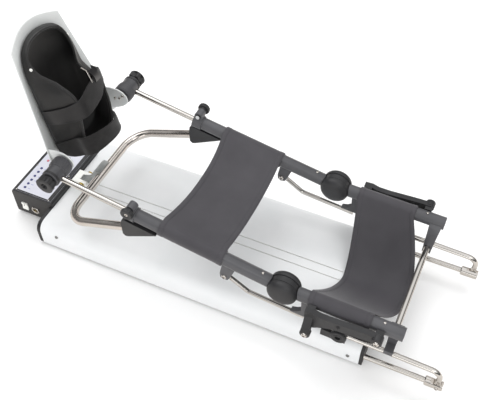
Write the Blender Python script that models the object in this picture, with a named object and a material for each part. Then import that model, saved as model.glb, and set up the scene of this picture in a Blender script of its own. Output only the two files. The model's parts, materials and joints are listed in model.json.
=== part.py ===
"""Continuous passive motion machine for the leg, at full extension.

Machine frame used by every number below, in millimetres: x runs from the foot end of the base towards
the hip end, y from the patient's left side (negative) to the right side, z up from the underside of the
base cover. The world frame puts its origin on the floor, under the middle of the length and width.
"""
import math

import bmesh
import bpy
import numpy as np
from mathutils import Vector

# Placement of the machine frame in the world
MID_X = 378.0
FOOT_HEIGHT = 5.0
GAP = 0.3

# Base
BASE_LENGTH = 700.0
BASE_HALF_WIDTH = 135.0
BASE_HEIGHT = 52.5
BASE_TOP_RADIUS = 21.0
COVER_WALL = 2.0
FOOT_CAP_THICKNESS = 8.3
HIP_PLATE_THICKNESS = 6.2
SLOT_Y = 10.1
SLOT_WIDTH = 1.8
GUIDE_HALF = 0.5
SLOT_START_X = 27.0
SLOT_END_X = BASE_LENGTH - 88.0
TRAY_THICKNESS = 2.0
TRAY_BOTTOM_Z = 0.6
SCREW_AXIS_Z = 27.0
SCREW_RADIUS = 5.0
MOTOR_FRONT_X = BASE_LENGTH - 72.0
MOTOR_LENGTH = 55.0
MOTOR_RADIUS = 19.0

# Control housing at the foot end
HOUSING_LENGTH = 92.0
HOUSING_HALF_WIDTH = 84.0
HOUSING_TOP_Z = 64.0
HOUSING_LIP_X = 8.0
HOUSING_WALL = 2.5
OVERLAY_THICKNESS = 0.8
KEY_X = -68.7
KEY_YS = (-67.1, -55.6, -44.3, -32.3, -19.6, -8.1, 16.1)
KEY_RADIUS = 2.6
KEY_STEM_RADIUS = 2.0
KEY_TRAVEL = 0.6
ROCKER_X = -67.5
ROCKER_Z = 24.0
ROCKER_HALF = (7.2, 9.9)
SOCKET_X = -41.5
SOCKET_Z = 22.4

# Hip rods
HIP_X = BASE_LENGTH + 135.0
HIP_Z = 25.0
LOWER_ROD_Y = BASE_HALF_WIDTH - 5.8
ROD_RADIUS = 5.0
FORK_RADIUS = 9.0
FORK_START_X = HIP_X - 23.0
FORK_END_X = HIP_X + 10.0
HIP_EYE_HALF = 4.0
HIP_PIN_RADIUS = 3.0
UPPER_ROD_Y = BASE_HALF_WIDTH - 4.0
UPPER_ROD_REF = (BASE_LENGTH + 39.0, 71.5)
UPPER_ROD_SLOPE = -0.038
UPPER_ROD_FRONT_X = BASE_LENGTH - 83.0
ELBOW_RADIUS = 18.0
ROD_KNOB = (-88.0, 10.5)
ROD_KNOB_RADIUS = 15.0
ROD_EAR_RADIUS = 12.5

# Thigh frame
KNEE_X = 541.0
KNEE_Z = 148.0
TUBE_Y = BASE_HALF_WIDTH - 5.5
TUBE_RADIUS = 12.5
THIGH_SLOPE = -0.034
THIGH_END_X = BASE_LENGTH + 58.0
NECK_LOW_X = (BASE_LENGTH + 31.5, BASE_LENGTH + 47.5)
NECK_HIGH_X = (BASE_LENGTH + 28.5, BASE_LENGTH + 52.0)
NECK_Y = (TUBE_Y - 24.0, TUBE_Y - 12.0)
NECK_TOP_H = 72.0
SADDLE_OUT_Y = UPPER_ROD_Y + 5.6
SADDLE_H = 10.5
CROSS_BAR_X = BASE_LENGTH + 39.5
CROSS_BAR_Z = 87.0
CROSS_BAR_RADIUS = 5.8
KNEE_RADIUS = 28.0
KNEE_HALF_WIDTH = 23.5
KNEE_DISC_HALF = 6.0
KNEE_DISC_RADIUS = 27.2
KNEE_PIN_RADIUS = 6.0
KNEE_STUB_RADIUS = 5.6

# Calf frame
CALF_SLOPE = 0.193
CALF_TUBE_LENGTH = 298.0
COLLAR_RADIUS = 14.6
COLLAR_LENGTH = 19.0
COLLAR_OVERHANG = 11.0
CALF_ROD_RADIUS = 5.5
CALF_BORE_RADIUS = 5.9
LUG = (KNEE_X - 112.0, 127.0)
LINK_BEND = (KNEE_X - 68.0, 97.0)
LINK_END = (KNEE_X + 41.0, 84.7)
LINK_RADIUS = 4.4
LINK_Y = UPPER_ROD_Y
LINK_PIN_RADIUS = 3.0
U_RADIUS = 8.5
U_HALF_WIDTH = TUBE_Y + 2.2
U_FRONT = (85.0, 107.0)
U_SLOPE = 0.371
U_END_X = 255.0
U_CORNER = 48.0
CALF_KNOB = (CALF_TUBE_LENGTH + 2.0, 19.5)
CALF_BOSS_RADIUS = 8.5
CALF_BOSS_Y = (TUBE_Y - 7.0, TUBE_Y + 9.0)
CALF_KNOB_RADIUS = 12.0

# Carriage
CARRIAGE_PIVOT = (38.0, 70.0)
CARRIAGE_BLOCK_X = (12.0, 50.0)
CARRIAGE_HALF_WIDTH = 15.5
CARRIAGE_LIFT = 1.0

# Foot assembly, given along the plate (u), out of the plate (w) and across (y)
FOOT_PIVOT = (92.1, 238.4)
FOOT_U = (-0.242, 0.970)
FOOT_W = (0.970, 0.242)
DRUM_RADIUS = 18.5
DRUM_IN_Y = 100.5
DRUM_OUT_Y = TUBE_Y - 8.0
CLAMP_RADIUS = 16.5
CLAMP_OUT_Y = TUBE_Y + 16.5
FOOT_KNOB_RADIUS = 17.4
FOOT_KNOB_HOLLOW = 3.2
FOOT_KNOB_LOBES = 6
FOOT_KNOB_Y = (CLAMP_OUT_Y + 3.0, CLAMP_OUT_Y + 17.5)
PLATE_HALF_LOW = 98.0
PLATE_TAPER = 0.16
PLATE_CORNER_U = 210.0
PLATE_TOP_U = 229.0
PLATE_BOTTOM_U = -34.0
PLATE_RIM_W = -30.0
PLATE_THICKNESS = 2.4
PLATE_ROWS = 15
PLATE_COLUMNS = 17

BOOT_WALL = 5.5
BOOT_MIDDLE_U = 87.0
BOOT_OUTLINE = ((212, 0), (211, 14), (208, 27), (204, 37), (197, 48), (183, 57.5), (162, 65), (134, 69), (98, 70),
                (60, 70), (25, 69), (-4, 62), (-20, 50), (-28, 30), (-31, 0))
BOOT_HEIGHTS = (0.0, 0.16, 0.42, 0.70, 0.92, 1.0)
BOOT_TAPER_LEFT = (0.93, 1.0, 0.96, 0.87, 0.76, 0.72)
BOOT_TAPER_RIGHT = (0.93, 1.0, 0.93, 0.80, 0.68, 0.62)
BOOT_TOE_LEFT = ((142, 164, 186), (0.0, 0.60, 1.0))
BOOT_TOE_RIGHT = ((120, 150, 176, 200), (0.0, 0.34, 0.53, 0.70))
BOOT_RIM_LEFT = ((-31, -12, 10, 25, 45, 67, 85, 100, 113, 122, 131, 142, 153, 168, 185, 206),
                 (12, 15, 18, 22, 29, 36, 43, 46, 45, 39, 28, 13, 0, -10, -18, -24))
BOOT_RIM_RIGHT = ((-31, -12, 10, 25, 45, 67, 85, 94, 99, 106, 114, 124, 148, 176, 190, 206),
                  (12, 16, 20, 24, 28, 30, 31, 30, 21, 3, -9, -12, -12, -13, -14, -18))
BOOT_RIM_BLEND = 25.0
BOOT_STAND_OFF = 0.6
STRAP_STAND_OFF = 2.2

# Slings
SLING_THICKNESS = 1.5
SLING_CLEARANCE = 0.7

MATERIALS = {
    "cover_white": ((0.80, 0.81, 0.81), 0.35, 0.0),
    "black_paint": ((0.030, 0.030, 0.032), 0.45, 0.0),
    "dark_tube": ((0.075, 0.075, 0.080), 0.38, 0.3),
    "chrome": ((0.75, 0.75, 0.74), 0.12, 1.0),
    "steel": ((0.45, 0.45, 0.44), 0.35, 1.0),
    "brass": ((0.60, 0.50, 0.22), 0.30, 1.0),
    "rubber": ((0.020, 0.020, 0.020), 0.80, 0.0),
    "white_plastic": ((0.82, 0.82, 0.80), 0.40, 0.0),
    "grey_plastic": ((0.35, 0.36, 0.37), 0.45, 0.0),
    "red_plastic": ((0.55, 0.06, 0.05), 0.40, 0.0),
    "overlay_pale": ((0.66, 0.69, 0.74), 0.35, 0.0),
    "key_blue": ((0.030, 0.045, 0.130), 0.40, 0.0),
    "sling_fabric": ((0.095, 0.090, 0.100), 0.75, 0.0),
    "foam_black": ((0.018, 0.018, 0.018), 0.70, 0.0),
    "strap_black": ((0.022, 0.022, 0.022), 0.80, 0.0),
    "plate_grey": ((0.60, 0.61, 0.60), 0.35, 0.0),
    "galvanised": ((0.40, 0.41, 0.41), 0.45, 1.0),
}


class Solid:
    """A closed surface as points (millimetres) and faces."""

    def __init__(self, points, faces):
        self.points = np.asarray(points, float).reshape(-1, 3)
        self.faces = [tuple(int(i) for i in face) for face in faces]

    def mirrored(self):
        """The same surface on the other side of the machine."""
        return Solid(self.points * (1, -1, 1), [face[::-1] for face in self.faces])

    def volume(self):
        total = 0.0
        for face in self.faces:
            corner = self.points[face[0]]
            for second, third in zip(face[1:-1], face[2:]):
                total += np.dot(corner, np.cross(self.points[second], self.points[third]))
        return total / 6

    def outward(self):
        """The same surface with its faces turned out."""
        if self.volume() < 0:
            return Solid(self.points, [face[::-1] for face in self.faces])
        return self


def loft(rings):
    """Skin over rings with the same number of points, capped at both ends."""
    rings = [np.asarray(ring, float) for ring in rings]
    count = len(rings[0])
    points = np.concatenate(rings)
    faces = []
    for i in range(len(rings) - 1):
        low = i * count
        high = low + count
        for j in range(count):
            k = (j + 1) % count
            faces.append((low + j, low + k, high + k, high + j))
    faces.append(tuple(range(count))[::-1])
    faces.append(tuple(range((len(rings) - 1) * count, len(rings) * count)))
    return Solid(points, faces).outward()


def prism(outline, plane, start, end):
    """Outline extruded along the axis that its plane leaves out, from start to end."""
    flat = np.asarray(outline, float)
    rings = []
    for depth in (start, end):
        fill = np.full(len(flat), float(depth))
        columns = {"xz": (flat[:, 0], fill, flat[:, 1]),
                   "yz": (fill, flat[:, 0], flat[:, 1]),
                   "xy": (flat[:, 0], flat[:, 1], fill)}[plane]
        rings.append(np.stack(columns, axis=1))
    return loft(rings)


def box(x0, x1, y0, y1, z0, z1):
    return prism([(x0, y0), (x1, y0), (x1, y1), (x0, y1)], "xy", z0, z1)


def frame_of(direction):
    """Two unit vectors across a direction."""
    direction = np.asarray(direction, float) / np.linalg.norm(direction)
    helper = np.array([0.0, 1.0, 0.0]) if abs(direction[1]) < 0.9 else np.array([1.0, 0.0, 0.0])
    side = np.cross(direction, helper)
    side /= np.linalg.norm(side)
    return side, np.cross(direction, side)


def sweep(path, radius, sides=16):
    """Round bar along a path, with its section turned as little as the path allows."""
    path = np.asarray(path, float)
    tangents = np.gradient(path, axis=0)
    tangents[0] = path[1] - path[0]
    tangents[-1] = path[-1] - path[-2]
    tangents /= np.linalg.norm(tangents, axis=1)[:, None]
    side, _ = frame_of(tangents[0])
    angles = np.arange(sides) * 2 * math.pi / sides
    rings = []
    for point, tangent in zip(path, tangents):
        side = side - tangent * np.dot(side, tangent)
        side /= np.linalg.norm(side)
        other = np.cross(tangent, side)
        rings.append(point + radius * (np.outer(np.cos(angles), side) + np.outer(np.sin(angles), other)))
    return loft(rings)


def rounded_path(corners, radius, steps=6):
    """Corner points joined by straight runs and circular bends."""
    corners = [np.asarray(corner, float) for corner in corners]
    path = [corners[0]]
    for before, corner, after in zip(corners[:-2], corners[1:-1], corners[2:]):
        into = (before - corner) / np.linalg.norm(before - corner)
        out = (after - corner) / np.linalg.norm(after - corner)
        half = math.acos(np.clip(np.dot(into, out), -1, 1)) / 2
        reach = radius / math.tan(half)
        centre = corner + (into + out) / np.linalg.norm(into + out) * radius / math.sin(half)
        start = corner + into * reach - centre
        end = corner + out * reach - centre
        sweep_angle = math.acos(np.clip(np.dot(start, end) / radius ** 2, -1, 1))
        for step in range(steps + 1):
            part = step / steps
            weights = (math.sin((1 - part) * sweep_angle), math.sin(part * sweep_angle))
            path.append(centre + (weights[0] * start + weights[1] * end) / math.sin(sweep_angle))
    path.append(corners[-1])
    return np.array(path)


def turned(profile, origin, axis, sides=24):
    """Profile of (radius, distance along the axis) turned about the axis, with flat discs for ends."""
    origin = np.asarray(origin, float)
    axis = np.asarray(axis, float) / np.linalg.norm(axis)
    side, other = frame_of(axis)
    angles = np.arange(sides) * 2 * math.pi / sides
    around = np.outer(np.cos(angles), side) + np.outer(np.sin(angles), other)
    rings = [origin + axis * along + radius * around for radius, along in profile]
    return loft(rings)


def cylinder(start, end, radius, sides=24):
    start = np.asarray(start, float)
    end = np.asarray(end, float)
    length = float(np.linalg.norm(end - start))
    return turned([(radius, 0.0), (radius, length)], start, end - start, sides)


def rim_circle(centre, radius, start, end, steps):
    """Points of an arc in degrees, both ends included."""
    angles = np.radians(np.linspace(start, end, steps + 1))
    return [(centre[0] + radius * math.cos(a), centre[1] + radius * math.sin(a)) for a in angles]


def temporary(solid):
    mesh = bpy.data.meshes.new("blank")
    mesh.from_pydata([tuple(point) for point in solid.points], [], solid.faces)
    mesh.update()
    thing = bpy.data.objects.new("blank", mesh)
    bpy.context.scene.collection.objects.link(thing)
    return thing


def combined(base, *steps):
    """Base with each (operation, solid) applied by an exact Boolean."""
    target = temporary(base)
    helpers = []
    for operation, solid in steps:
        helper = temporary(solid)
        helper.hide_render = True
        helper.display_type = "WIRE"
        modifier = target.modifiers.new("step", "BOOLEAN")
        modifier.operation = operation
        modifier.solver = "EXACT"
        modifier.object = helper
        helpers.append(helper)
    graph = bpy.context.evaluated_depsgraph_get()
    mesh = bpy.data.meshes.new_from_object(target.evaluated_get(graph))
    points = [tuple(vertex.co) for vertex in mesh.vertices]
    faces = [tuple(polygon.vertices) for polygon in mesh.polygons]
    for thing in [target] + helpers:
        bpy.data.objects.remove(thing)
    bpy.data.meshes.remove(mesh)
    return Solid(points, faces)


def cut(base, *solids):
    return combined(base, *[("DIFFERENCE", solid) for solid in solids])


def joined(base, *solids):
    return combined(base, *[("UNION", solid) for solid in solids])


def material_of(name):
    material = bpy.data.materials.get(name)
    if material is None:
        colour, roughness, metallic = MATERIALS[name]
        material = bpy.data.materials.new(name)
        material.use_nodes = True
        shader = material.node_tree.nodes["Principled BSDF"]
        shader.inputs["Base Color"].default_value = (*colour, 1.0)
        shader.inputs["Roughness"].default_value = roughness
        shader.inputs["Metallic"].default_value = metallic
    return material


def world(point):
    """Machine frame millimetres to world metres."""
    return Vector(((point[0] - MID_X) / 1000, point[1] / 1000, (point[2] + FOOT_HEIGHT) / 1000))


def add_piece(name, solid, material, pivot):
    """Named object with its origin at the pivot, and its sharp edges kept."""
    origin = world(pivot)
    mesh = bpy.data.meshes.new(name)
    mesh.from_pydata([world(point) - origin for point in solid.points], [], solid.faces)
    mesh.update()
    shape = bmesh.new()
    shape.from_mesh(mesh)
    bmesh.ops.triangulate(shape, faces=[face for face in shape.faces if len(face.verts) > 4])
    shape.to_mesh(mesh)
    shape.free()
    mesh.materials.append(material_of(material))
    mesh.shade_smooth()
    mesh.set_sharp_from_angle(angle=math.radians(32))
    piece = bpy.data.objects.new(name, mesh)
    piece.location = origin
    bpy.context.scene.collection.objects.link(piece)
    return piece


def add_pair(name, solid, material, pivot):
    """Right-hand piece (positive y) and its mirrored left-hand twin."""
    add_piece(name + "_right", solid, material, pivot)
    add_piece(name + "_left", solid.mirrored(), material, (pivot[0], -pivot[1], pivot[2]))


def upper_rod_z(x):
    return UPPER_ROD_REF[1] + UPPER_ROD_SLOPE * (x - UPPER_ROD_REF[0])


def along_rod(distance, height, y):
    """Point given along the upper rod from its reference, above its axis, and across."""
    scale = math.hypot(1, UPPER_ROD_SLOPE)
    ex, ez = 1 / scale, UPPER_ROD_SLOPE / scale
    return (UPPER_ROD_REF[0] + distance * ex - height * ez, y, UPPER_ROD_REF[1] + distance * ez + height * ex)


def along_thigh(distance, height, y):
    scale = math.hypot(1, THIGH_SLOPE)
    ex, ez = 1 / scale, THIGH_SLOPE / scale
    return (KNEE_X + distance * ex - height * ez, y, KNEE_Z + distance * ez + height * ex)


def along_calf(distance, height, y):
    """Point given from the knee along the calf towards the foot, above the calf's axis, and across."""
    scale = math.hypot(1, CALF_SLOPE)
    ex, ez = -1 / scale, CALF_SLOPE / scale
    return (KNEE_X + distance * ex + height * ez, y, KNEE_Z + distance * ez - height * ex)


def in_foot(u, w, y):
    """Point given along the footplate, out of it towards the hip, and across."""
    return (FOOT_PIVOT[0] + u * FOOT_U[0] + w * FOOT_W[0], y, FOOT_PIVOT[1] + u * FOOT_U[1] + w * FOOT_W[1])


def slab(outline, place, start, end):
    """Outline of two in-plane distances placed by a frame function and extruded across the machine."""
    rings = [[place(a, b, y) for a, b in outline] for y in (start, end)]
    return loft(rings)


def base_outline(inset, steps=6):
    """Half-round-topped section of the base from its left foot to its right foot."""
    half = BASE_HALF_WIDTH - inset
    top = BASE_HEIGHT - inset
    radius = BASE_TOP_RADIUS - inset
    right = rim_circle((half - radius, top - radius), radius, 0, 90, steps)
    left = rim_circle((radius - half, top - radius), radius, 90, 180, steps)
    return [(half, 0.0)] + right + left + [(-half, 0.0)]


def build_base():
    pivot = (BASE_LENGTH / 2, 0.0, 26.0)
    outer = base_outline(0.0)
    inner = base_outline(COVER_WALL)
    start = FOOT_CAP_THICKNESS + GAP
    end = BASE_LENGTH - HIP_PLATE_THICKNESS - GAP
    cover = prism(outer + inner[::-1], "yz", start, end)
    slots = [box(SLOT_START_X, SLOT_END_X, side * SLOT_Y - SLOT_WIDTH / 2, side * SLOT_Y + SLOT_WIDTH / 2,
                 BASE_HEIGHT - 6, BASE_HEIGHT + 4) for side in (-1, 1)]
    add_piece("base_cover", cut(cover, *slots), "cover_white", pivot)

    cap = prism(outer, "yz", 0.0, FOOT_CAP_THICKNESS)
    boss = cylinder((FOOT_CAP_THICKNESS - 3, 0, SCREW_AXIS_Z), (20, 0, SCREW_AXIS_Z), 9, 20)
    bore = cylinder((10, 0, SCREW_AXIS_Z), (24, 0, SCREW_AXIS_Z), SCREW_RADIUS + GAP, 16)
    add_piece("foot_end_cap", cut(joined(cap, boss), bore), "black_paint", (4.0, 0.0, 26.0))

    plate = prism(outer, "yz", BASE_LENGTH - HIP_PLATE_THICKNESS, BASE_LENGTH)
    holes = [cylinder((BASE_LENGTH - 12, side * LOWER_ROD_Y, HIP_Z), (BASE_LENGTH + 4, side * LOWER_ROD_Y, HIP_Z),
                      3 + GAP, 14) for side in (-1, 1)]
    add_piece("hip_end_plate", cut(plate, *holes), "black_paint", (BASE_LENGTH - 3.0, 0.0, 26.0))

    tray = box(FOOT_CAP_THICKNESS + 0.7, BASE_LENGTH - HIP_PLATE_THICKNESS - 0.6,
               -(BASE_HALF_WIDTH - COVER_WALL - 0.4), BASE_HALF_WIDTH - COVER_WALL - 0.4,
               TRAY_BOTTOM_Z, TRAY_BOTTOM_Z + TRAY_THICKNESS)
    add_piece("base_tray", tray, "galvanised", (BASE_LENGTH / 2, 0.0, TRAY_BOTTOM_Z))

    reach = BASE_HALF_WIDTH - 23
    for name, x0 in (("foot_strip_front", 40.0), ("foot_strip_rear", BASE_LENGTH - 68)):
        strip = box(x0, x0 + 28, -reach, reach, -FOOT_HEIGHT, TRAY_BOTTOM_Z - GAP)
        add_piece(name, strip, "rubber", (x0 + 14, 0.0, -FOOT_HEIGHT / 2))


def build_drive():
    start = (10 + GAP, 0, SCREW_AXIS_Z)
    end = (MOTOR_FRONT_X + 12, 0, SCREW_AXIS_Z)
    add_piece("lead_screw", cylinder(start, end, SCREW_RADIUS, 14), "steel", start)
    body = turned([(MOTOR_RADIUS - 2, 0), (MOTOR_RADIUS, 2), (MOTOR_RADIUS, MOTOR_LENGTH - 2),
                   (MOTOR_RADIUS - 2, MOTOR_LENGTH)], (MOTOR_FRONT_X, 0, SCREW_AXIS_Z), (1, 0, 0), 20)
    foot = box(MOTOR_FRONT_X + 6, MOTOR_FRONT_X + MOTOR_LENGTH - 6, -15, 15,
               TRAY_BOTTOM_Z + TRAY_THICKNESS + GAP, SCREW_AXIS_Z - 8)
    bore = cylinder((MOTOR_FRONT_X - 4, 0, SCREW_AXIS_Z), (MOTOR_FRONT_X + 13, 0, SCREW_AXIS_Z),
                    SCREW_RADIUS + GAP, 16)
    add_piece("drive_motor", cut(joined(body, foot), bore), "grey_plastic", (MOTOR_FRONT_X, 0, SCREW_AXIS_Z))


def build_controls():
    top = HOUSING_TOP_Z
    left = -HOUSING_LENGTH
    wall = HOUSING_WALL
    outer = [(left, 1.0), (-0.6, 1.0), (-0.6, BASE_HEIGHT + 0.7), (HOUSING_LIP_X, BASE_HEIGHT + 0.7),
             (HOUSING_LIP_X, top - 2), (HOUSING_LIP_X - 2, top), (left + 5, top), (left + 1.4, top - 1.4),
             (left, top - 5)]
    inner = [(left + wall, -2.0), (-0.6 - wall, -2.0), (-0.6 - wall, top - wall), (left + wall + 3, top - wall),
             (left + wall, top - wall - 3)]
    housing = prism(outer, "xz", -HOUSING_HALF_WIDTH, HOUSING_HALF_WIDTH)
    hollow = prism(inner, "xz", -HOUSING_HALF_WIDTH + wall, HOUSING_HALF_WIDTH - wall)
    stem_holes = [cylinder((KEY_X, y, top - 6), (KEY_X, y, top + 3), KEY_STEM_RADIUS + GAP, 10) for y in KEY_YS]
    rocker_hole = box(ROCKER_X - ROCKER_HALF[0] - 0.4, ROCKER_X + ROCKER_HALF[0] + 0.4,
                      -HOUSING_HALF_WIDTH - 3, -HOUSING_HALF_WIDTH + 5,
                      ROCKER_Z - ROCKER_HALF[1] - 0.9, ROCKER_Z + ROCKER_HALF[1] + 0.9)
    socket_hole = cylinder((SOCKET_X, -HOUSING_HALF_WIDTH - 3, SOCKET_Z), (SOCKET_X, -HOUSING_HALF_WIDTH + 5, SOCKET_Z),
                           7.8, 20)
    housing = cut(housing, hollow, *stem_holes, rocker_hole, socket_hole)
    add_piece("control_housing", housing, "black_paint", (-46.0, 0.0, 32.0))

    overlay = box(left + 4, 3.0, -80, 80, top + GAP, top + GAP + OVERLAY_THICKNESS)
    key_holes = [cylinder((KEY_X, y, top - 1), (KEY_X, y, top + 3), KEY_RADIUS + GAP, 10) for y in KEY_YS]
    add_piece("keypad_overlay", cut(overlay, *key_holes), "overlay_pale", (-42.0, 0.0, top))

    low = top + GAP + KEY_TRAVEL + 0.1
    for number, y in enumerate(KEY_YS, 1):
        key = turned([(KEY_STEM_RADIUS, 0.0), (KEY_STEM_RADIUS, low - top + 5), (KEY_RADIUS, low - top + 5.001),
                      (KEY_RADIUS, low - top + 5.9), (KEY_RADIUS - 0.7, low - top + 6.4)],
                     (KEY_X, y, top - 5), (0, 0, 1), 12)
        colour = "red_plastic" if y > 0 else "key_blue"
        add_piece(f"key_{number}", key, colour, (KEY_X, y, low))

    face = -HOUSING_HALF_WIDTH
    half = ROCKER_HALF[1]
    profile = [(face - 2.6, ROCKER_Z - half + 0.3), (face - 0.9, ROCKER_Z),
               (face - 2.6, ROCKER_Z + half - 0.3), (face + 2.0, ROCKER_Z + half), (face + 6.0, ROCKER_Z + half - 2),
               (face + 6.0, ROCKER_Z - half + 2), (face + 2.0, ROCKER_Z - half)]
    rocker = prism(profile, "yz", ROCKER_X - ROCKER_HALF[0], ROCKER_X + ROCKER_HALF[0])
    add_piece("power_switch", rocker, "white_plastic", (ROCKER_X, face + 6.0, ROCKER_Z))

    socket = cut(turned([(8.4, 0.0), (9.4, 1.0), (9.4, 2.5 - GAP), (7.5, 2.5 - GAP), (7.5, 14.0)],
                        (SOCKET_X, face - 2.5, SOCKET_Z), (0, 1, 0), 20),
                 cylinder((SOCKET_X, face - 4, SOCKET_Z), (SOCKET_X, face + 6, SOCKET_Z), 5.4, 16))
    add_piece("handset_socket", socket, "chrome", (SOCKET_X, face, SOCKET_Z))


def build_hip_rods():
    y = LOWER_ROD_Y
    root_x = BASE_LENGTH - 11.7
    fork = FORK_START_X - root_x + 0.3
    tip = FORK_END_X - root_x + 0.3
    rod = turned([(3.0, 0), (3.0, 12), (ROD_RADIUS, 12), (ROD_RADIUS, fork), (7.5, fork), (FORK_RADIUS, fork + 1.5),
                  (FORK_RADIUS, tip - 1), (7.5, tip)], (root_x, y, HIP_Z), (1, 0, 0), 20)
    slot = box(HIP_X - 12, FORK_END_X + 4, UPPER_ROD_Y - HIP_EYE_HALF - 0.4, UPPER_ROD_Y + HIP_EYE_HALF + 0.4,
               HIP_Z - 14, HIP_Z + 14)
    pin = cylinder((HIP_X, y - 7.6, HIP_Z), (HIP_X, y + 8.3, HIP_Z), HIP_PIN_RADIUS, 16)
    add_pair("lower_rod", joined(cut(rod, slot), pin), "chrome", (HIP_X, y, HIP_Z))

    y = UPPER_ROD_Y
    corner = (HIP_X, y, upper_rod_z(HIP_X))
    path = rounded_path([(UPPER_ROD_FRONT_X, y, upper_rod_z(UPPER_ROD_FRONT_X)), corner, (HIP_X, y, HIP_Z + 17)],
                        ELBOW_RADIUS)
    eye = rim_circle((HIP_X, HIP_Z), 7.5, -215, 35, 12) + [(HIP_X + 4.6, HIP_Z + 20), (HIP_X - 4.6, HIP_Z + 20)]
    plate = prism(eye, "xz", y - HIP_EYE_HALF, y + HIP_EYE_HALF)
    hole = cylinder((HIP_X, y - 8, HIP_Z), (HIP_X, y + 8, HIP_Z), HIP_PIN_RADIUS + GAP, 16)
    rod = cut(joined(sweep(path, ROD_RADIUS, 14), plate), hole)
    add_pair("upper_rod", rod, "chrome", (HIP_X, y, HIP_Z))

    front = (UPPER_ROD_FRONT_X - UPPER_ROD_REF[0]) + 0.5
    rear = -75.0
    cup_arc = rim_circle((0.0, 0.0), ROD_RADIUS + GAP, -4, -176, 8)
    section = [(-5.8, -0.4), (-5.8, -12.0), (10.5, -12.0), (10.5, 6.0), (6.0, 6.0), (6.0, -0.4)] + cup_arc
    cup = loft([[along_rod(s, h, y + out) for out, h in section] for s in (front, rear)])
    knob_s, knob_h = ROD_KNOB
    ear = slab([(knob_s - 14, 0), (rear, 0), (rear, 6)] + rim_circle((knob_s, knob_h), ROD_EAR_RADIUS, -10, 190, 10),
               along_rod, y + 6.0, y + 10.5)
    stem_hole = cylinder(along_rod(knob_s, knob_h, y + 3), along_rod(knob_s, knob_h, y + 14), 3.4, 14)
    add_pair("rod_clamp", cut(joined(cup, ear), stem_hole), "black_paint", along_rod(knob_s, 0, y))

    start = along_rod(knob_s, knob_h, y + 6.2)
    rim = ROD_KNOB_RADIUS
    knob = turned([(3.0, 0), (3.0, 4.6), (rim - 1.5, 4.6), (rim, 5.8), (rim, 10.8), (rim - 1.6, 12.3)], start,
                  (0, 1, 0), 20)
    hexagon = turned([(5.2, 0), (5.2, 6)], along_rod(knob_s, knob_h, y + 14.5), (0, 1, 0), 6)
    add_pair("clamp_knob", cut(knob, hexagon), "black_paint", start)


def build_thigh():
    y = TUBE_Y
    pivot = (KNEE_X, y, KNEE_Z)
    length = (THIGH_END_X - KNEE_X) * math.hypot(1, THIGH_SLOPE)
    centre = np.array(pivot)
    knee_room = cylinder(centre - (0, 30, 0), centre + (0, 30, 0), KNEE_RADIUS + 2 * GAP, 28)
    tube = cut(cylinder(along_thigh(KNEE_RADIUS - 6, 0, y), along_thigh(length, 0, y), TUBE_RADIUS, 20), knee_room,
               cylinder(along_thigh(120, 0, y), along_thigh(length + 5, 0, y), TUBE_RADIUS - 2.5, 16))
    low = 0.4
    inner, outer = NECK_Y
    arc = rim_circle((UPPER_ROD_Y, 0.0), ROD_RADIUS + GAP, 4, 176, 8)
    section = [(inner, low), (inner, 52.0), (inner + 5.5, 66.0), (outer + 1.5, NECK_TOP_H), (outer + 4.5, 60.0),
               (outer, 50.0), (outer, SADDLE_H), (SADDLE_OUT_Y, SADDLE_H), (SADDLE_OUT_Y, low)] + arc
    edges = []
    for low_x, high_x in zip(NECK_LOW_X, NECK_HIGH_X):
        edges.append([along_rod(low_x - UPPER_ROD_REF[0] + (high_x - low_x) * (h / NECK_TOP_H) ** 2, h, out)
                      for out, h in section])
    neck = loft(edges)
    thigh_low = KNEE_Z + THIGH_SLOPE * 45
    gusset = prism([(588, thigh_low - 8), (576, thigh_low - 8), (577, 106), (567, 98.5), (557, 95.2), (557, 93.4),
                    (588, 91.3)], "xz", y - 3.5, y + 6.7)
    bar_hole = cylinder((CROSS_BAR_X, inner - 3, CROSS_BAR_Z), (CROSS_BAR_X, outer - 2, CROSS_BAR_Z),
                        CROSS_BAR_RADIUS + GAP, 18)
    add_pair("thigh_tube", cut(joined(tube, neck, gusset), bar_hole), "dark_tube", pivot)

    reach = outer - 2 - GAP
    bar = cylinder((CROSS_BAR_X, -reach, CROSS_BAR_Z), (CROSS_BAR_X, reach, CROSS_BAR_Z), CROSS_BAR_RADIUS, 18)
    add_piece("cross_bar", bar, "chrome", (CROSS_BAR_X, 0, CROSS_BAR_Z))

    plate = [(591, 151), (591, 122), (597, 112), (608, 109), (617, 115), (630, 122), (650, 127), (690, 130),
             (724, 134), (729, 144), (724, 152), (700, 151.5), (640, 147.5), (618, 148), (606, 152)]
    side = prism(plate, "xz", y + 20.7, y + 31.5)
    post = [(14.9, 152), (14.9, 136), (28.5, 118), (37.5, 104), (46.5, 103.5), (50, 109), (48.5, 116),
            (38.5, 127), (30.5, 140), (30.5, 151)]
    front = prism([(y + out, z) for out, z in post], "yz", 592, 607)
    block = [(12.9, 149), (12.9, 138), (34.5, 139), (37, 145), (34.5, 152)]
    rear = prism([(y + out, z) for out, z in block], "yz", 713, 727)
    lever = joined(side, front, rear)
    tube_room = cylinder(along_thigh(20, 0, y), along_thigh(225, 0, y), TUBE_RADIUS + GAP, 20)
    add_pair("side_arm", cut(lever, tube_room), "black_paint", (660, 156, 145))

    half = KNEE_HALF_WIDTH
    inside = KNEE_DISC_HALF + GAP
    dome = [(1.0, 0.0), (1.0, 0.38), (0.95, 0.63), (0.80, 0.84), (0.50, 0.97), (0.2, 1.0)]
    cheek = [(KNEE_RADIUS * wide, inside + (half - inside) * far) for wide, far in dome]
    outer_cheek = turned(cheek, centre, (0, 1, 0), 20)
    inner_cheek = turned(cheek, centre, (0, -1, 0), 20)
    pin = cylinder(centre - (0, half - 7, 0), centre + (0, half - 7, 0), KNEE_PIN_RADIUS, 14)
    add_pair("knee_housing", joined(outer_cheek, pin, inner_cheek), "black_paint", pivot)


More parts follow.
